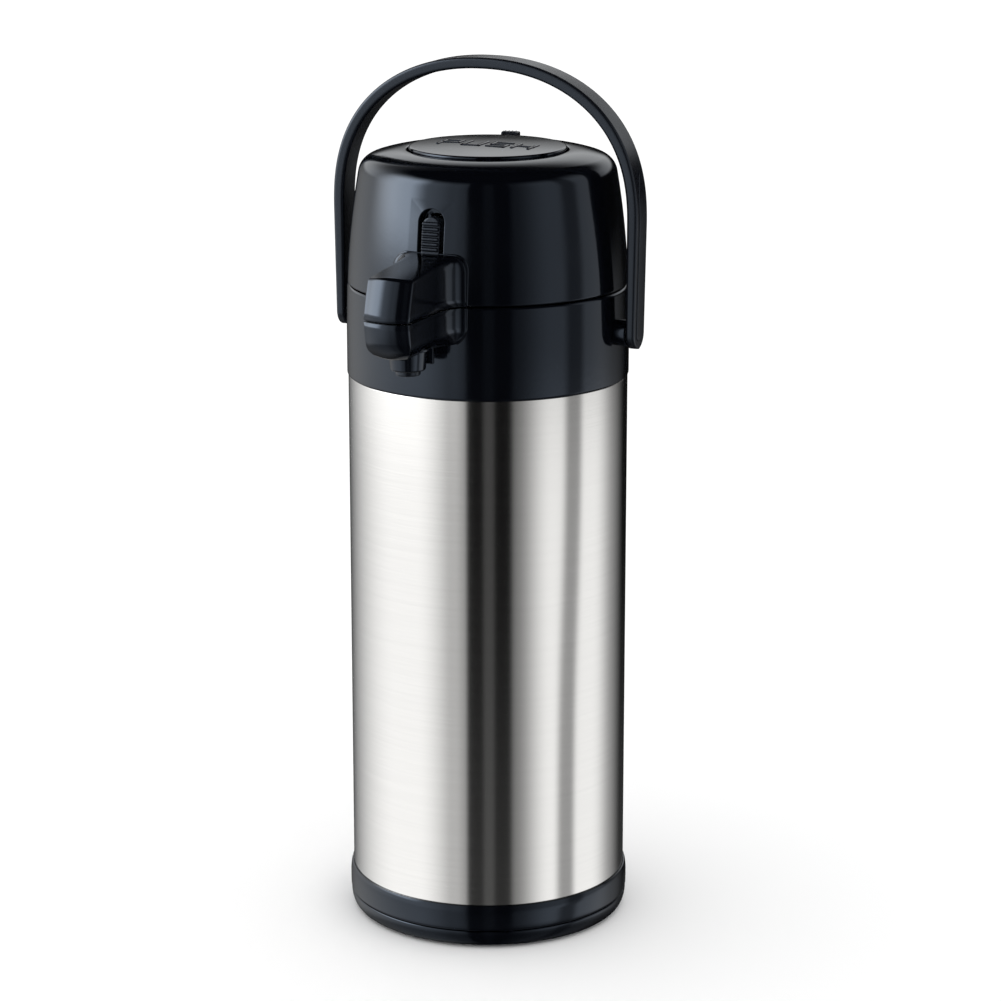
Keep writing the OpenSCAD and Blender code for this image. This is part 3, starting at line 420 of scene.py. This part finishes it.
base = [(4.05, 10.5), (RIM - 0.3, 10.5), (RIM - 0.05, 12), (RIM, 14.5), (RIM, 19.6), (RIM - 0.25, 22.8)]
base += [(RIM - 0.7, 24.7), (75.1, 24.7), (75.1, 16), (72, 16)]
base += [(72, 13.5), (12, 13.5), (12, 15.2), (4.05, 15.2)]
piece("base_moulding", *spun(softened(base, 0.7)), "gloss_black", "vessel", "base_ring")


# ---------------------------------------------------------------------------
# Shell: 0.6 mm stainless sheet, rolled and seamed, brushed round and round.
# Its section is swept round a circle in Geometry Nodes. Its lower end sits in
# the base and its upper end inside the collar's lip.
# ---------------------------------------------------------------------------
def streaks(tree, place):
    """Fine lines that run round the shell, some longer than others."""
    fine = noise(tree, place, 60, (0.35, 0.35, 60), 4)
    broad = noise(tree, place, 14, (0.2, 0.2, 22), 3)
    return fine * 0.65 + broad * 0.35


def brushed_colour(tree, place):
    shade = streaks(tree, place) * 0.10 + 0.59
    return tree.add(
        "ShaderNodeCombineColor", {}, {"Red": shade * 1.01, "Green": shade * 0.985, "Blue": shade * 0.95}
    )


steel = principled(
    "brushed_steel",
    {"Metallic": 1},
    brushed_colour,
    lambda t, p: streaks(t, p) * 0.05 + 0.095,
    (0.000007, streaks),
)
SLOTS["brushed_steel"] = steel


def node_tree(name, wanted):
    """An empty Geometry Nodes tree with a geometry output and named inputs."""
    tree = bpy.data.node_groups.new(name, "GeometryNodeTree")
    tree.interface.new_socket("Geometry", in_out="OUTPUT", socket_type="NodeSocketGeometry")
    for label, kind in wanted:
        tree.interface.new_socket(label, in_out="INPUT", socket_type=kind)
    given = tree.nodes.new("NodeGroupInput")
    return tree, given


def step(tree, kind, settings=None, inputs=None):
    """One node of a Geometry Nodes tree, with its settings and inputs."""
    made = tree.nodes.new(kind)
    for name, value in (settings or {}).items():
        setattr(made, name, value)
    for name, value in (inputs or {}).items():
        if isinstance(value, bpy.types.NodeSocket):
            tree.links.new(value, made.inputs[name])
        else:
            made.inputs[name].default_value = value
    return made


def grown(name, tree, values, slot_name, body, *nodes):
    """Runs a Geometry Nodes tree once and keeps the mesh it makes as a piece."""
    seed = bpy.data.objects.new(name + "_seed", bpy.data.meshes.new(name + "_seed"))
    scene.collection.objects.link(seed)
    grow = seed.modifiers.new("grow", "NODES")
    grow.node_group = tree
    for item in tree.interface.items_tree:
        if item.in_out == "INPUT" and item.name in values:
            grow[item.identifier] = values[item.name]
    evaluated = seed.evaluated_get(bpy.context.evaluated_depsgraph_get())
    mesh = bpy.data.meshes.new_from_object(evaluated)
    bpy.data.objects.remove(seed)
    mesh.name = name
    made = bpy.data.objects.new(name, mesh)
    scene.collection.objects.link(made)
    mesh.shade_smooth()
    made.modifiers.new("even", "WEIGHTED_NORMAL").keep_sharp = True
    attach(made, body)
    if nodes:
        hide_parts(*nodes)
    return made


tree, given = node_tree(
    "swept_sheet",
    [("Radius", "NodeSocketFloat"), ("Low", "NodeSocketFloat"), ("High", "NodeSocketFloat"),
     ("Thickness", "NodeSocketFloat"), ("Material", "NodeSocketMaterial")],
)
middle = step(tree, "ShaderNodeMath", {"operation": "MULTIPLY_ADD"},
              {0: given.outputs["Thickness"], 1: -0.5, 2: given.outputs["Radius"]})
ring = step(tree, "GeometryNodeCurvePrimitiveCircle", {}, {"Resolution": 288, "Radius": middle.outputs[0]})
tall = step(tree, "ShaderNodeMath", {"operation": "SUBTRACT"},
            {0: given.outputs["High"], 1: given.outputs["Low"]})
section = step(tree, "GeometryNodeCurvePrimitiveQuadrilateral", {"mode": "RECTANGLE"},
               {"Width": given.outputs["Thickness"], "Height": tall.outputs[0]})
rounded = step(tree, "GeometryNodeFilletCurve", {},
               {"Curve": section.outputs[0], "Radius": 0.00025})
swept = step(tree, "GeometryNodeCurveToMesh", {},
             {"Curve": ring.outputs[0], "Profile Curve": rounded.outputs[0]})
half = step(tree, "ShaderNodeMath", {"operation": "MULTIPLY_ADD"},
            {0: tall.outputs[0], 1: 0.5, 2: given.outputs["Low"]})
lift = step(tree, "ShaderNodeCombineXYZ", {}, {"Z": half.outputs[0]})
raised = step(tree, "GeometryNodeTransform", {},
              {"Geometry": swept.outputs[0], "Translation": lift.outputs[0]})
solid = step(tree, "GeometryNodeRealizeInstances", {}, {"Geometry": raised.outputs[0]})
painted = step(tree, "GeometryNodeSetMaterial", {},
               {"Geometry": solid.outputs[0], "Material": given.outputs["Material"]})
end = tree.nodes.new("NodeGroupOutput")
tree.links.new(painted.outputs[0], end.inputs[0])
grown(
    "steel_shell", tree,
    {"Radius": SHELL_R * MM, "Low": 16 * MM, "High": SHELL_TOP * MM, "Thickness": 0.6 * MM,
     "Material": steel},
    "brushed_steel", "vessel", "outer_shell",
)


# ---------------------------------------------------------------------------
# Collar: a black ABS moulding pressed over the shell's top. It carries the deck
# that the flask's neck seals under, the two bosses that the handle swings on
# and the outer knuckles of the lid's hinge.
# ---------------------------------------------------------------------------
PIVOT_Z = 329.5
HINGE_Y, HINGE_Z, KNUCKLE_R = 80.5, 352, 4.5
DECK_Z = 337
collar = [(SHELL_R, SHELL_TOP), (75.6, 303), (75.6, PIVOT_Z), (75.1, 349.8), (74.2, 351), (72.4, 351)]
collar += [(72.4, DECK_Z), (29, DECK_Z), (29, DECK_Z - 3), (35.6, DECK_Z - 3), (35.6, 320), (37.6, 320)]
collar += [(37.6, DECK_Z - 3), (72.4, DECK_Z - 3), (72.4, 290), (74.2, 290), (74.2, SHELL_TOP)]
parts = [spun(softened(collar, 0.5, 3))]
for side in (-1, 1):
    low, high = sorted((side * 71.4, side * 81.2))
    parts.append(rod_x(7, low, high, 0, PIVOT_Z, 0.6))
    low, high = sorted((side * 9, side * 20))
    parts.append(rod_x(KNUCKLE_R, low, high, HINGE_Y, HINGE_Z))
    parts.append(block((low, 69.5, 344.5), (high, HINGE_Y, 350.5)))
piece("collar_moulding", *joined(*parts), "gloss_black", "vessel", "collar")


# ---------------------------------------------------------------------------
# Lid: one gloss black moulding. Its side leans in as a long arc, turns over a
# rounded shoulder and rises over a low crown to the button's well. A pocket
# with a round top holds the latch, and a slot in the crown holds the lock.
# ---------------------------------------------------------------------------
def sine(a):
    return math.sin(math.radians(a))


def cosine(a):
    return math.cos(math.radians(a))


LID_FOOT, LID_Z, LID_T, RIM_Z, WELL_R = 74.8, 352, 2.4, 422.3, 43
SHOULDER = 10.4
CROWN_Z = RIM_Z - 2.9
SIDE = (CROWN_Z - SHOULDER * (sine(74) - sine(10)) - LID_Z) / (sine(10) - sine(2))
SIDE_X, SIDE_Y = LID_FOOT - SIDE * cosine(2), LID_Z - SIDE * sine(2)
TURN_X, TURN_Y = SIDE_X + (SIDE - SHOULDER) * cosine(10), SIDE_Y + (SIDE - SHOULDER) * sine(10)


def lid_rows(t):
    """The lid's outline from foot to well, drawn in by t, as (radius, height)."""
    rows = arc(SIDE_X, SIDE_Y, SIDE - t, 2, 10, 84) + arc(TURN_X, TURN_Y, SHOULDER - t, 14, 74, 15)
    start = rows[-1][0]
    return rows + [
        (start + (WELL_R - start) * u, CROWN_Z - t + 2.9 * (1 - (1 - u) ** 2))
        for u in np.linspace(0, 1, 21)[1:]
    ]


def chained(points, faces, rings):
    """Joins rings of points one to the next; a ring may be indices already in points."""
    before = None
    for ring in rings:
        if not isinstance(ring[0], (int, np.integer)):
            points.extend(ring)
            ring = list(range(len(points) - len(ring), len(points)))
        if before is not None:
            n = len(ring)
            faces += [(before[k], before[(k + 1) % n], ring[(k + 1) % n], ring[k]) for k in range(n)]
        before = ring


OUTER, INNER = lid_rows(0), lid_rows(LID_T)
turns = set(np.arange(0, 360, 2.0)) | set(np.arange(259, 281.1, 0.5)) | set(np.arange(64, 116.1, 1.0))
turns = sorted(turns)
WELL = [(43.0, 421.6), (43.0, 398.6), (43.3, 398.3), (44.9, 398.3), (45.2, 398.6), (45.2, 419.0)]
FOOT = [(72.6, 352.0), (74.2, 352.0)]
loop = OUTER[:-1] + [(43.25, RIM_Z - 0.02), (43.06, RIM_Z - 0.25)] + WELL
inner_at = len(loop)
loop += [p for p in INNER[::-1] if p[0] > 46] + FOOT
inner_kept = len([p for p in INNER if p[0] > 46])
rows = len(loop)
points = [(r * cosine(a), r * sine(a), z) for a in turns for r, z in loop]
at = lambda i, j: (i % len(turns)) * rows + j % rows
inner_row = lambda j: inner_at + inner_kept - 1 - j


def window(first, last, low, high, row):
    """Indices round a window of the grid, and the grid cells inside it."""
    ring = [at(i, row(low)) for i in range(first, last)] + [at(last, row(j)) for j in range(low, high)]
    ring += [at(i, row(high)) for i in range(last, first, -1)]
    ring += [at(first, row(j)) for j in range(high, low, -1)]
    cells = {(i, min(row(j), row(j + 1))) for i in range(first, last) for j in range(low, high)}
    return ring, cells


def nearest(values, wanted):
    return int(np.argmin([abs(v - wanted) for v in values]))


pocket_at = (nearest(turns, 260), nearest(turns, 280), nearest([p[1] for p in OUTER[:85]], 371.8),
             nearest([p[1] for p in OUTER[:85]], 404.8))
slot_at = (nearest(turns, 66), nearest(turns, 114), 100 + nearest([p[0] for p in OUTER[100:]], 55.6),
           100 + nearest([p[0] for p in OUTER[100:]], 46.2))
removed = set()
windows = []
for first, last, low, high in (pocket_at, slot_at):
    for row in (lambda j: j, inner_row):
        ring, cells = window(first, last, low, high, row)
        windows.append(ring)
        removed |= cells
faces = [
    (at(i, j), at(i + 1, j), at(i + 1, j + 1), at(i, j + 1))
    for i in range(len(turns))
    for j in range(rows)
    if (i, j) not in removed
]


def on_wall(x, z, layer):
    """The point of the lid's front at x and z, on the outer or inner layer."""
    r = np.interp(z, [p[1] for p in layer[:100]], [p[0] for p in layer[:100]])
    return (x, -math.sqrt(r * r - x * x), z)


def pocket_edge(p, d, half=7.0, low=376.0, bend=1.0, top=393.5):
    """The point nearest p on the pocket's outline, grown by d."""
    if p[1] > top:
        core, reach = (0, top), half
    else:
        core, reach = (max(-half + bend, min(half - bend, p[0])), max(low + bend, p[1])), bend
    away = np.array(p, float) - core
    return core + away / max(np.linalg.norm(away), 1e-9) * (reach + d)


outer_ring, inner_ring, slot_outer, slot_inner = windows
front = [(points[v][0], points[v][2]) for v in outer_ring]
POCKET_Y = -64.2


def pocket_ring(d, depth=None, y=None, layer=OUTER, **shape):
    ring = []
    for p in front:
        x, z = pocket_edge(p, d, **shape)
        place = on_wall(x, z, layer)
        ring.append((x, y if y is not None else place[1] + depth, z))
    return ring


slit_shape = {"half": 3.6, "low": 378.0, "bend": 0.8, "top": 394.0}
rings = [outer_ring] + [
    pocket_ring(0.7 * (1 - sine(a)), 0.7 * (1 - cosine(a))) for a in (0, 22, 45, 67, 90)
]
rings += [pocket_ring(-0.6 * (1 - cosine(a)), y=POCKET_Y - 0.6 * (1 - sine(a))) for a in (0, 30, 60, 90)]
rings += [pocket_ring(0.2, y=POCKET_Y, **slit_shape), pocket_ring(0, y=POCKET_Y + 0.2, **slit_shape)]
rings += [pocket_ring(0, y=POCKET_Y + 3, **slit_shape), pocket_ring(1.5, y=POCKET_Y + 3)]
rings += [pocket_ring(1.5, 0, layer=INNER), inner_ring]
chained(points, faces, rings)

LOCK_R, LOCK_AT = 50.4, 100
top = [
    (LOCK_R * math.radians(math.degrees(math.atan2(points[v][1], points[v][0])) - LOCK_AT + 10),
     math.hypot(points[v][0], points[v][1]) - LOCK_R)
    for v in slot_outer
]


def slot_ring(d, depth, layer):
    """A ring about the lock's slot, on the crown's outer or inner layer."""
    ring = []
    reach = LOCK_R * math.radians(18.8)
    for u, v in top:
        core = np.array([max(-reach + 1, min(reach - 1, u)), max(-2.4, min(2.4, v))])
        away = np.array([u, v]) - core
        u, v = core + away / max(np.linalg.norm(away), 1e-9) * (1 + d)
        r, turn = LOCK_R + v, u / LOCK_R + math.radians(LOCK_AT - 10)
        z = np.interp(-r, [-p[0] for p in layer[100:]], [p[1] for p in layer[100:]]) - depth
        ring.append((r * math.cos(turn), r * math.sin(turn), z))
    return ring


rings = [slot_outer, slot_ring(0.5, 0, OUTER), slot_ring(0.15, 0.1, OUTER), slot_ring(0, 0.45, OUTER)]
rings += [slot_ring(0, 0, INNER), slot_inner]
chained(points, faces, rings)
knuckle = joined(
    rod_x(KNUCKLE_R, -8.6, 8.6, HINGE_Y, HINGE_Z), block((-8.6, 72.6, 352.2), (8.6, HINGE_Y, 356.4))
)
piece("lid_moulding", *joined((points, faces), knuckle), "gloss_black", "lid", "lid_shell")


# ---------------------------------------------------------------------------
# Pump button: a shallow gloss dome that fills the well, with the word PUSH
# standing up from it in plain strokes. Pressing it squeezes the bellows.
# ---------------------------------------------------------------------------
def dome(r):
    return 424.7 - 0.7 * (r / 40.8) ** 2


button = [(0, 422.3), (39, 422.3), (40, 421.3), (40, 404.3), (42, 404.3), (42, 422.9)]
button += arc(40.8, 422.8, 1.2, 10, 80, 6) + [(r, dome(r)) for r in np.linspace(40, 0, 24)]
STROKES = {
    "P": [(0, 0, 0, 1), (0, 1, 0.8, 1), (0.8, 1, 0.8, 0.5), (0.8, 0.5, 0, 0.5)],
    "U": [(0, 1, 0, 0), (0, 0, 0.8, 0), (0.8, 0, 0.8, 1)],
    "S": [(0.8, 1, 0, 1), (0, 1, 0, 0.5), (0, 0.5, 0.8, 0.5), (0.8, 0.5, 0.8, 0), (0.8, 0, 0, 0)],
    "H": [(0, 0, 0, 1), (0.8, 0, 0.8, 1), (0, 0.5, 0.8, 0.5)],
}
tall, wide, thick = 13.0, 9.4, 0.9
word = []
for k, letter in enumerate("PUSH"):
    left = (k - 1.84) * 14.2
    for x0, y0, x1, y1 in STROKES[letter]:
        xa, xb = sorted((left + x0 * wide / 0.8, left + x1 * wide / 0.8))
        ya, yb = sorted(((y0 - 0.5) * tall, (y1 - 0.5) * tall))
        high = dome(math.hypot((xa + xb) / 2, (ya + yb) / 2))
        word.append(block((xa - thick, ya - thick, high - 0.8), (xb + thick, yb + thick, high + 0.45), 0.25))
piece("button_cap", *joined(spun(softened(button, 0.3, 2)), *word), "gloss_black", "button", "push_button")


# ---------------------------------------------------------------------------
# Spout covers: two gloss black shells that meet at the lid's seam, the upper
# on the lid and the lower on the collar. Their flanks flare out to flanges
# that lap onto the head; the lower one is a bowl with the nozzle under it.
# ---------------------------------------------------------------------------
NOSE, REACH, BULGE, ROOT = 12.7, 129.0, 3.0, 73.9


def half_plan(t):
    """The spout's plan from its root to the middle of its nose, drawn in by t."""
    flare = 8.0
    points = [(NOSE + flare - t, -64.0)]
    points += [
        (NOSE - t + flare * (1 - sine(a)), -ROOT - 2.3 * flare * (1 - cosine(a)))
        for a in np.linspace(0, 90, 15)
    ]
    points += [(NOSE - t, y) for y in (-100, -110, -120)]
    bend = max(1.3 - t, 0.15)
    edge = -REACH + BULGE + t
    points += arc(NOSE - t - bend, edge + bend, bend, 0, -80, 5)
    points += [((NOSE - t - bend) * u, edge - BULGE * (1 - u * u)) for u in np.linspace(0.94, 0, 12)]
    return points


FLANK = half_plan(0)[:16]


def hood_z(x, y):
    """Height of the upper cover's top."""
    half = np.interp(-y, [-p[1] for p in FLANK], [p[0] for p in FLANK])
    along = min(max((-y - 72) / 54, 0), 1)
    return 378.2 - 6.0 * along ** 0.8 + 1.4 * along * (1 - (x / half) ** 2)


def raked(points, drop):
    """Leans the nose back as it leaves the seam, by drop at 20 mm from it."""
    out = []
    for x, y, z in points:
        near = min(max((-y - 96) / 30, 0), 1)
        away = min(abs(z - 351.5) / 20, 1.1)
        out.append((x, y + drop * near * away ** 1.25, z))
    return out


def rib_up(k, t):
    """One rib of the upper cover: up the right flank, over, and down the left."""
    x, y = half_plan(t)[k]
    bend = float(np.interp(-y, (74, 82, 96, 115), (8, 5, 2.6, 1.6)))
    eaves = hood_z(x, y) - bend - t
    right = [(x, y, z) for z in np.linspace(352, eaves, 6)]
    for a in (18, 36, 54, 72, 90):
        x, y = half_plan(t + bend * (1 - cosine(a)))[k]
        right.append((x, y, hood_z(x, y) - t - bend * (1 - sine(a))))
    across = [(x * u, y, hood_z(x * u, y) - t) for u in np.linspace(1, -1, 13)[1:-1]]
    return raked(right + across + [(-px, py, pz) for px, py, pz in right[::-1]], 5.5)


def rib_down(k, t):
    """One rib of the lower cover: down the right flank, under, and up the left."""
    bend, deep = 8.5, 10.0
    x, y = half_plan(t)[k]
    right = [(x, y, z) for z in np.linspace(351, 331 + deep, 4)]
    for a in np.linspace(6, 90, 15):
        x, y = half_plan(t + bend * (1 - cosine(a)))[k]
        right.append((max(x, 0), y, 331 + t + (deep - t) * (1 - sine(a))))
    across = [(x * u, y, 331 + t) for u in np.linspace(1, -1, 9)[1:-1]]
    return raked(right + across + [(-px, py, pz) for px, py, pz in right[::-1]], 3.5)


def cover(rib):
    """A shell 2 mm thick over ribs set side by side from the root to the nose."""
    count = len(half_plan(0))
    sheets = [[rib(k, t) for k in range(count)] for t in (0, 2)]
    wide = len(sheets[0][0])
    points = [p for sheet in sheets for line in sheet for p in line]
    at = lambda s, k, m: (s * count + k) * wide + m
    faces = []
    for s in (0, 1):
        for k in range(count - 1):
            for m in range(wide - 1):
                faces.append((at(s, k, m), at(s, k + 1, m), at(s, k + 1, m + 1), at(s, k, m + 1)))
    for m in range(wide - 1):
        faces.append((at(0, 0, m), at(0, 0, m + 1), at(1, 0, m + 1), at(1, 0, m)))
    for k in range(count - 1):
        for m in (0, wide - 1):
            faces.append((at(0, k, m), at(0, k + 1, m), at(1, k + 1, m), at(1, k, m)))
    return points, faces


def head_r(z):
    """Radius of the collar or lid at a height."""
    if z < 352:
        return float(np.interp(z, [329.5, 349.8, 352], [75.6, 75.1, 74.9]))
    return float(np.interp(z, [p[1] for p in OUTER[:100]], [p[0] for p in OUTER[:100]]))


def flange(low, high, rounded_low):
    """A pad 1 mm thick that lies on the head, with two large round corners."""
    bends = (8, 8, 0.3, 0.3) if rounded_low else (0.3, 0.3, 8, 8)
    corners = [(-21, low, 180), (21, low, 270), (21, high, 0), (-21, high, 90)]
    outline = []
    for (x, z, a), bend in zip(corners, bends):
        cx = x - math.copysign(bend, x)
        cz = z + bend if z == low else z - bend
        outline += arc(cx, cz, bend, a, a + 90, 10)
    middle = (low + high) / 2
    points, faces, rings = [], [], []
    for lift, inset in ((0.03, 0), (0.5, 0), (0.8, 0.15), (0.95, 0.4), (1, 0.8), (1, 5), (1, 10), (1, 17)):
        ring = []
        for x, z in outline:
            k = 1 - inset / 21
            px, pz = x * k, middle + (z - middle) * k
            ring.append((px, -math.sqrt((head_r(pz) + lift) ** 2 - px * px), pz))
        rings.append(ring)
    chained(points, faces, rings)
    n = len(outline)
    faces += [tuple(range(n)), tuple(range(7 * n, 8 * n))]
    return points, faces


upper = joined(cover(rib_up), flange(352.1, 378.4, False))
piece("spout_upper", *upper, "gloss_black", "lid", "spout_upper_cover")
guard = block((-9, -89.5, 324), (9, -87.3, 333), 0.4)
lower = joined(cover(rib_down), flange(333, 350.9, True), guard)
piece("spout_lower", *lower, "gloss_black", "vessel", "spout_lower_cover")

boss = [(6.5, 322.6), (8.4, 322.6), (9.1, 323.3), (10, 333), (11.5, 333), (11.5, 334.5), (6.5, 334.5)]
piece("nozzle_ring", *spun(softened(boss, 0.4), 96, (0, -100)), "gloss_black", "vessel", "nozzle")
tip = [(4.8, 320), (6.1, 320), (6.4, 320.6), (6.4, 337.4), (3.5, 337.4), (3.5, 335.8), (4.8, 333.4)]
piece("nozzle_mouth", *spun(softened(tip, 0.3), 96, (0, -100)), "satin_black", "vessel", "nozzle_tip")


# ---------------------------------------------------------------------------
# Handle: one bent satin strap of polypropylene, flat legs below and a round
# arch above, swinging on steel pins in white bushes. A long raised panel
# with a pointed top runs up the outside of each leg.
# ---------------------------------------------------------------------------
ARCH_Z, TOP_Z, HALF = 388.0, 471.0, 8.0
LEG_IN, LEG_OUT = 82.0, 88.0
SHOULDERS, CROWN = 2.15, 2.4


def super_arch(a, b, t):
    """A point of the arch at angle t, with half width a and height b."""
    return (a * cosine(t) ** (2 / SHOULDERS), ARCH_Z + b * sine(t) ** (2 / CROWN))


def leg_face(z):
    """How far out the leg's outer face stands: it thins a little downwards."""
    return 86.8 + 1.2 * (z - 320) / 68


stations = []
for a in np.linspace(-86, 0, 12):
    z = PIVOT_Z + HALF * sine(a)
    stations.append(((LEG_IN, z), (leg_face(z), z), max(HALF * cosine(a), 0.4)))
for z in np.linspace(PIVOT_Z, ARCH_Z, 24)[1:]:
    stations.append(((LEG_IN, z), (leg_face(z), z), HALF))
for t in np.linspace(0, 90, 60)[1:]:
    stations.append((super_arch(LEG_IN, TOP_Z - 6 - ARCH_Z, t), super_arch(LEG_OUT, TOP_Z - ARCH_Z, t), HALF))
mirrored_half = [((-i[0], i[1]), (-o[0], o[1]), w) for i, o, w in stations[-2::-1]]
stations += mirrored_half
rings = []
for inner, outer, half in stations:
    inner, outer = np.array(inner), np.array(outer)
    ring = []
    for u, v in softened([(0.001, -half), (6, -half), (6, half), (0.001, half)], 1.9, 5):
        spot = inner + (outer - inner) * u / 6
        ring.append((spot[0], v, spot[1]))
    rings.append(ring)
points, faces = [], []
chained(points, faces, rings)
n = len(rings[0])
faces += [tuple(range(n)), tuple(range(len(points) - n, len(points)))]
panel_heights = [*np.linspace(326, 329, 5), *np.linspace(334, 402, 30), *np.linspace(403, 414, 14)]
panels = []
for side in (-1, 1):
    panel_rings = []
    for z in panel_heights:
        half = 4.4 * min(1, math.sqrt(max(1 - ((329 - z) / 3.4) ** 2, 0.05)) if z < 329 else 1)
        half = min(half, 4.4 * max((414.3 - z) / 12, 0.03)) if z > 402 else half
        if z < ARCH_Z:
            face = leg_face(z)
        else:
            face = LEG_OUT * (1 - ((z - ARCH_Z) / (TOP_Z - ARCH_Z)) ** CROWN) ** (1 / SHOULDERS)
        soft = min(0.5, half * 0.4)
        spots = [(-0.4, -half), (0.15, -half), (0.5, -half + soft)]
        spots += [(lift, -y) for lift, y in spots[::-1]]
        panel_rings.append([(side * (face + lift), y, z) for lift, y in spots])
    panel_points, panel_faces = [], []
    chained(panel_points, panel_faces, panel_rings)
    panel_faces += [tuple(range(6)), tuple(range(len(panel_points) - 6, len(panel_points)))]
    panels.append((panel_points, panel_faces))
piece("carry_strap", *joined((points, faces), *panels), "satin_black", "handle", "handle_strap")


# ---------------------------------------------------------------------------
# Latch and lock: a ribbed satin slider in the lid's pocket that frees the lid,
# and a small tab in the crown that blocks the button when it is turned.
# ---------------------------------------------------------------------------
outlines = {d: [pocket_edge(p, d, 5.0, 376.6, 1.2, 391.5) for p in front] for d in (0, -0.12, -0.4)}
rings = [[(x * k, -64.5, z) for x, z in outlines[0]] for k in (0, 0.5, 1)]
for d, sunk, k in ((0, 0.4, 1), (-0.12, 0.1, 1), (-0.4, 0, 1), (-0.4, 0, 0.6), (-0.4, 0, 0.3), (-0.4, 0, 0)):
    rings.append([(x * k, -head_r(z) - 0.2 + sunk, z) for x, z in outlines[d]])
points, faces = [], []
chained(points, faces, rings)
ribs = []
for k in range(6):
    z = 380 + 2.6 * k
    ribs.append(rod_x(1.15, -4.5, 4.5, -head_r(z) - 0.3, z, 0.4, 24))
stem = block((-3.2, -65, 380), (3.2, -60.4, 389), 0.3)
bracket = block((-5.8, -61.0, 367), (5.8, -58.7, 390.2), 0.3)
cam = rod_x(1.2, -10, 10, -59.13, 369, 0.2, 24)
slider = joined((points, faces), *ribs, stem, bracket, cam)
piece("latch_slider", *slider, "satin_black", "latch", "lid_latch")

tabs = []
half = math.degrees(math.asin(6.5 / LOCK_R))
points, faces, rings = [], [], []
for z, t, trim in ((414.3, 0.2, 0), (414.5, 0, 0), (421.2, 0, 0), (421.4, 0.3, 0.3), (421.4, 0.3, 2),
                   (423.7, 0.3, 2), (424.3, 0.5, 2.2), (424.5, 1.0, 2.8)):
    ends = half - trim
    inner_arc = [(LOCK_R - 3 + t, a) for a in np.linspace(LOCK_AT - ends, LOCK_AT + ends, 13)]
    outer_arc = [(LOCK_R + 3 - t, a) for a in np.linspace(LOCK_AT + ends, LOCK_AT - ends, 13)]
    rings.append([(r * cosine(a), r * sine(a), z) for r, a in inner_arc + outer_arc])
chained(points, faces, rings)
n = len(rings[0])
faces += [tuple(range(n)), tuple(range(7 * n, 8 * n))]
for a in np.linspace(LOCK_AT - 3.2, LOCK_AT + 3.2, 4):
    bar, bar_faces = rod_x(0.35, LOCK_R - 2, LOCK_R + 2, 0, 424.45, 0.15, 16)
    turned = [(x * cosine(a) - y * sine(a), x * sine(a) + y * cosine(a), z) for x, y, z in bar]
    tabs.append((turned, bar_faces))
piece("lock_tab", *joined((points, faces), *tabs), "satin_black", "lock", "lock_slider")

# ---------------------------------------------------------------------------
# Springs and bellows: the rubber bellows and its steel return spring, which shorten as the button goes down,
# and the latch's small spring, which shortens as the latch rises, are copied as they are onto the lid's body.
# ---------------------------------------------------------------------------
def springy(name, node):
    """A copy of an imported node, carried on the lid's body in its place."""
    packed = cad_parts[node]
    mesh = packed.data.copy()
    mesh.transform(packed.matrix_world)
    made = bpy.data.objects.new(name, mesh)
    scene.collection.objects.link(made)
    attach(made, "lid")
    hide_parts(node)
    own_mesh(made)


springy("bellows_rubber", "bellows")
springy("return_coil", "return_spring")
springy("latch_coil", "latch_spring")
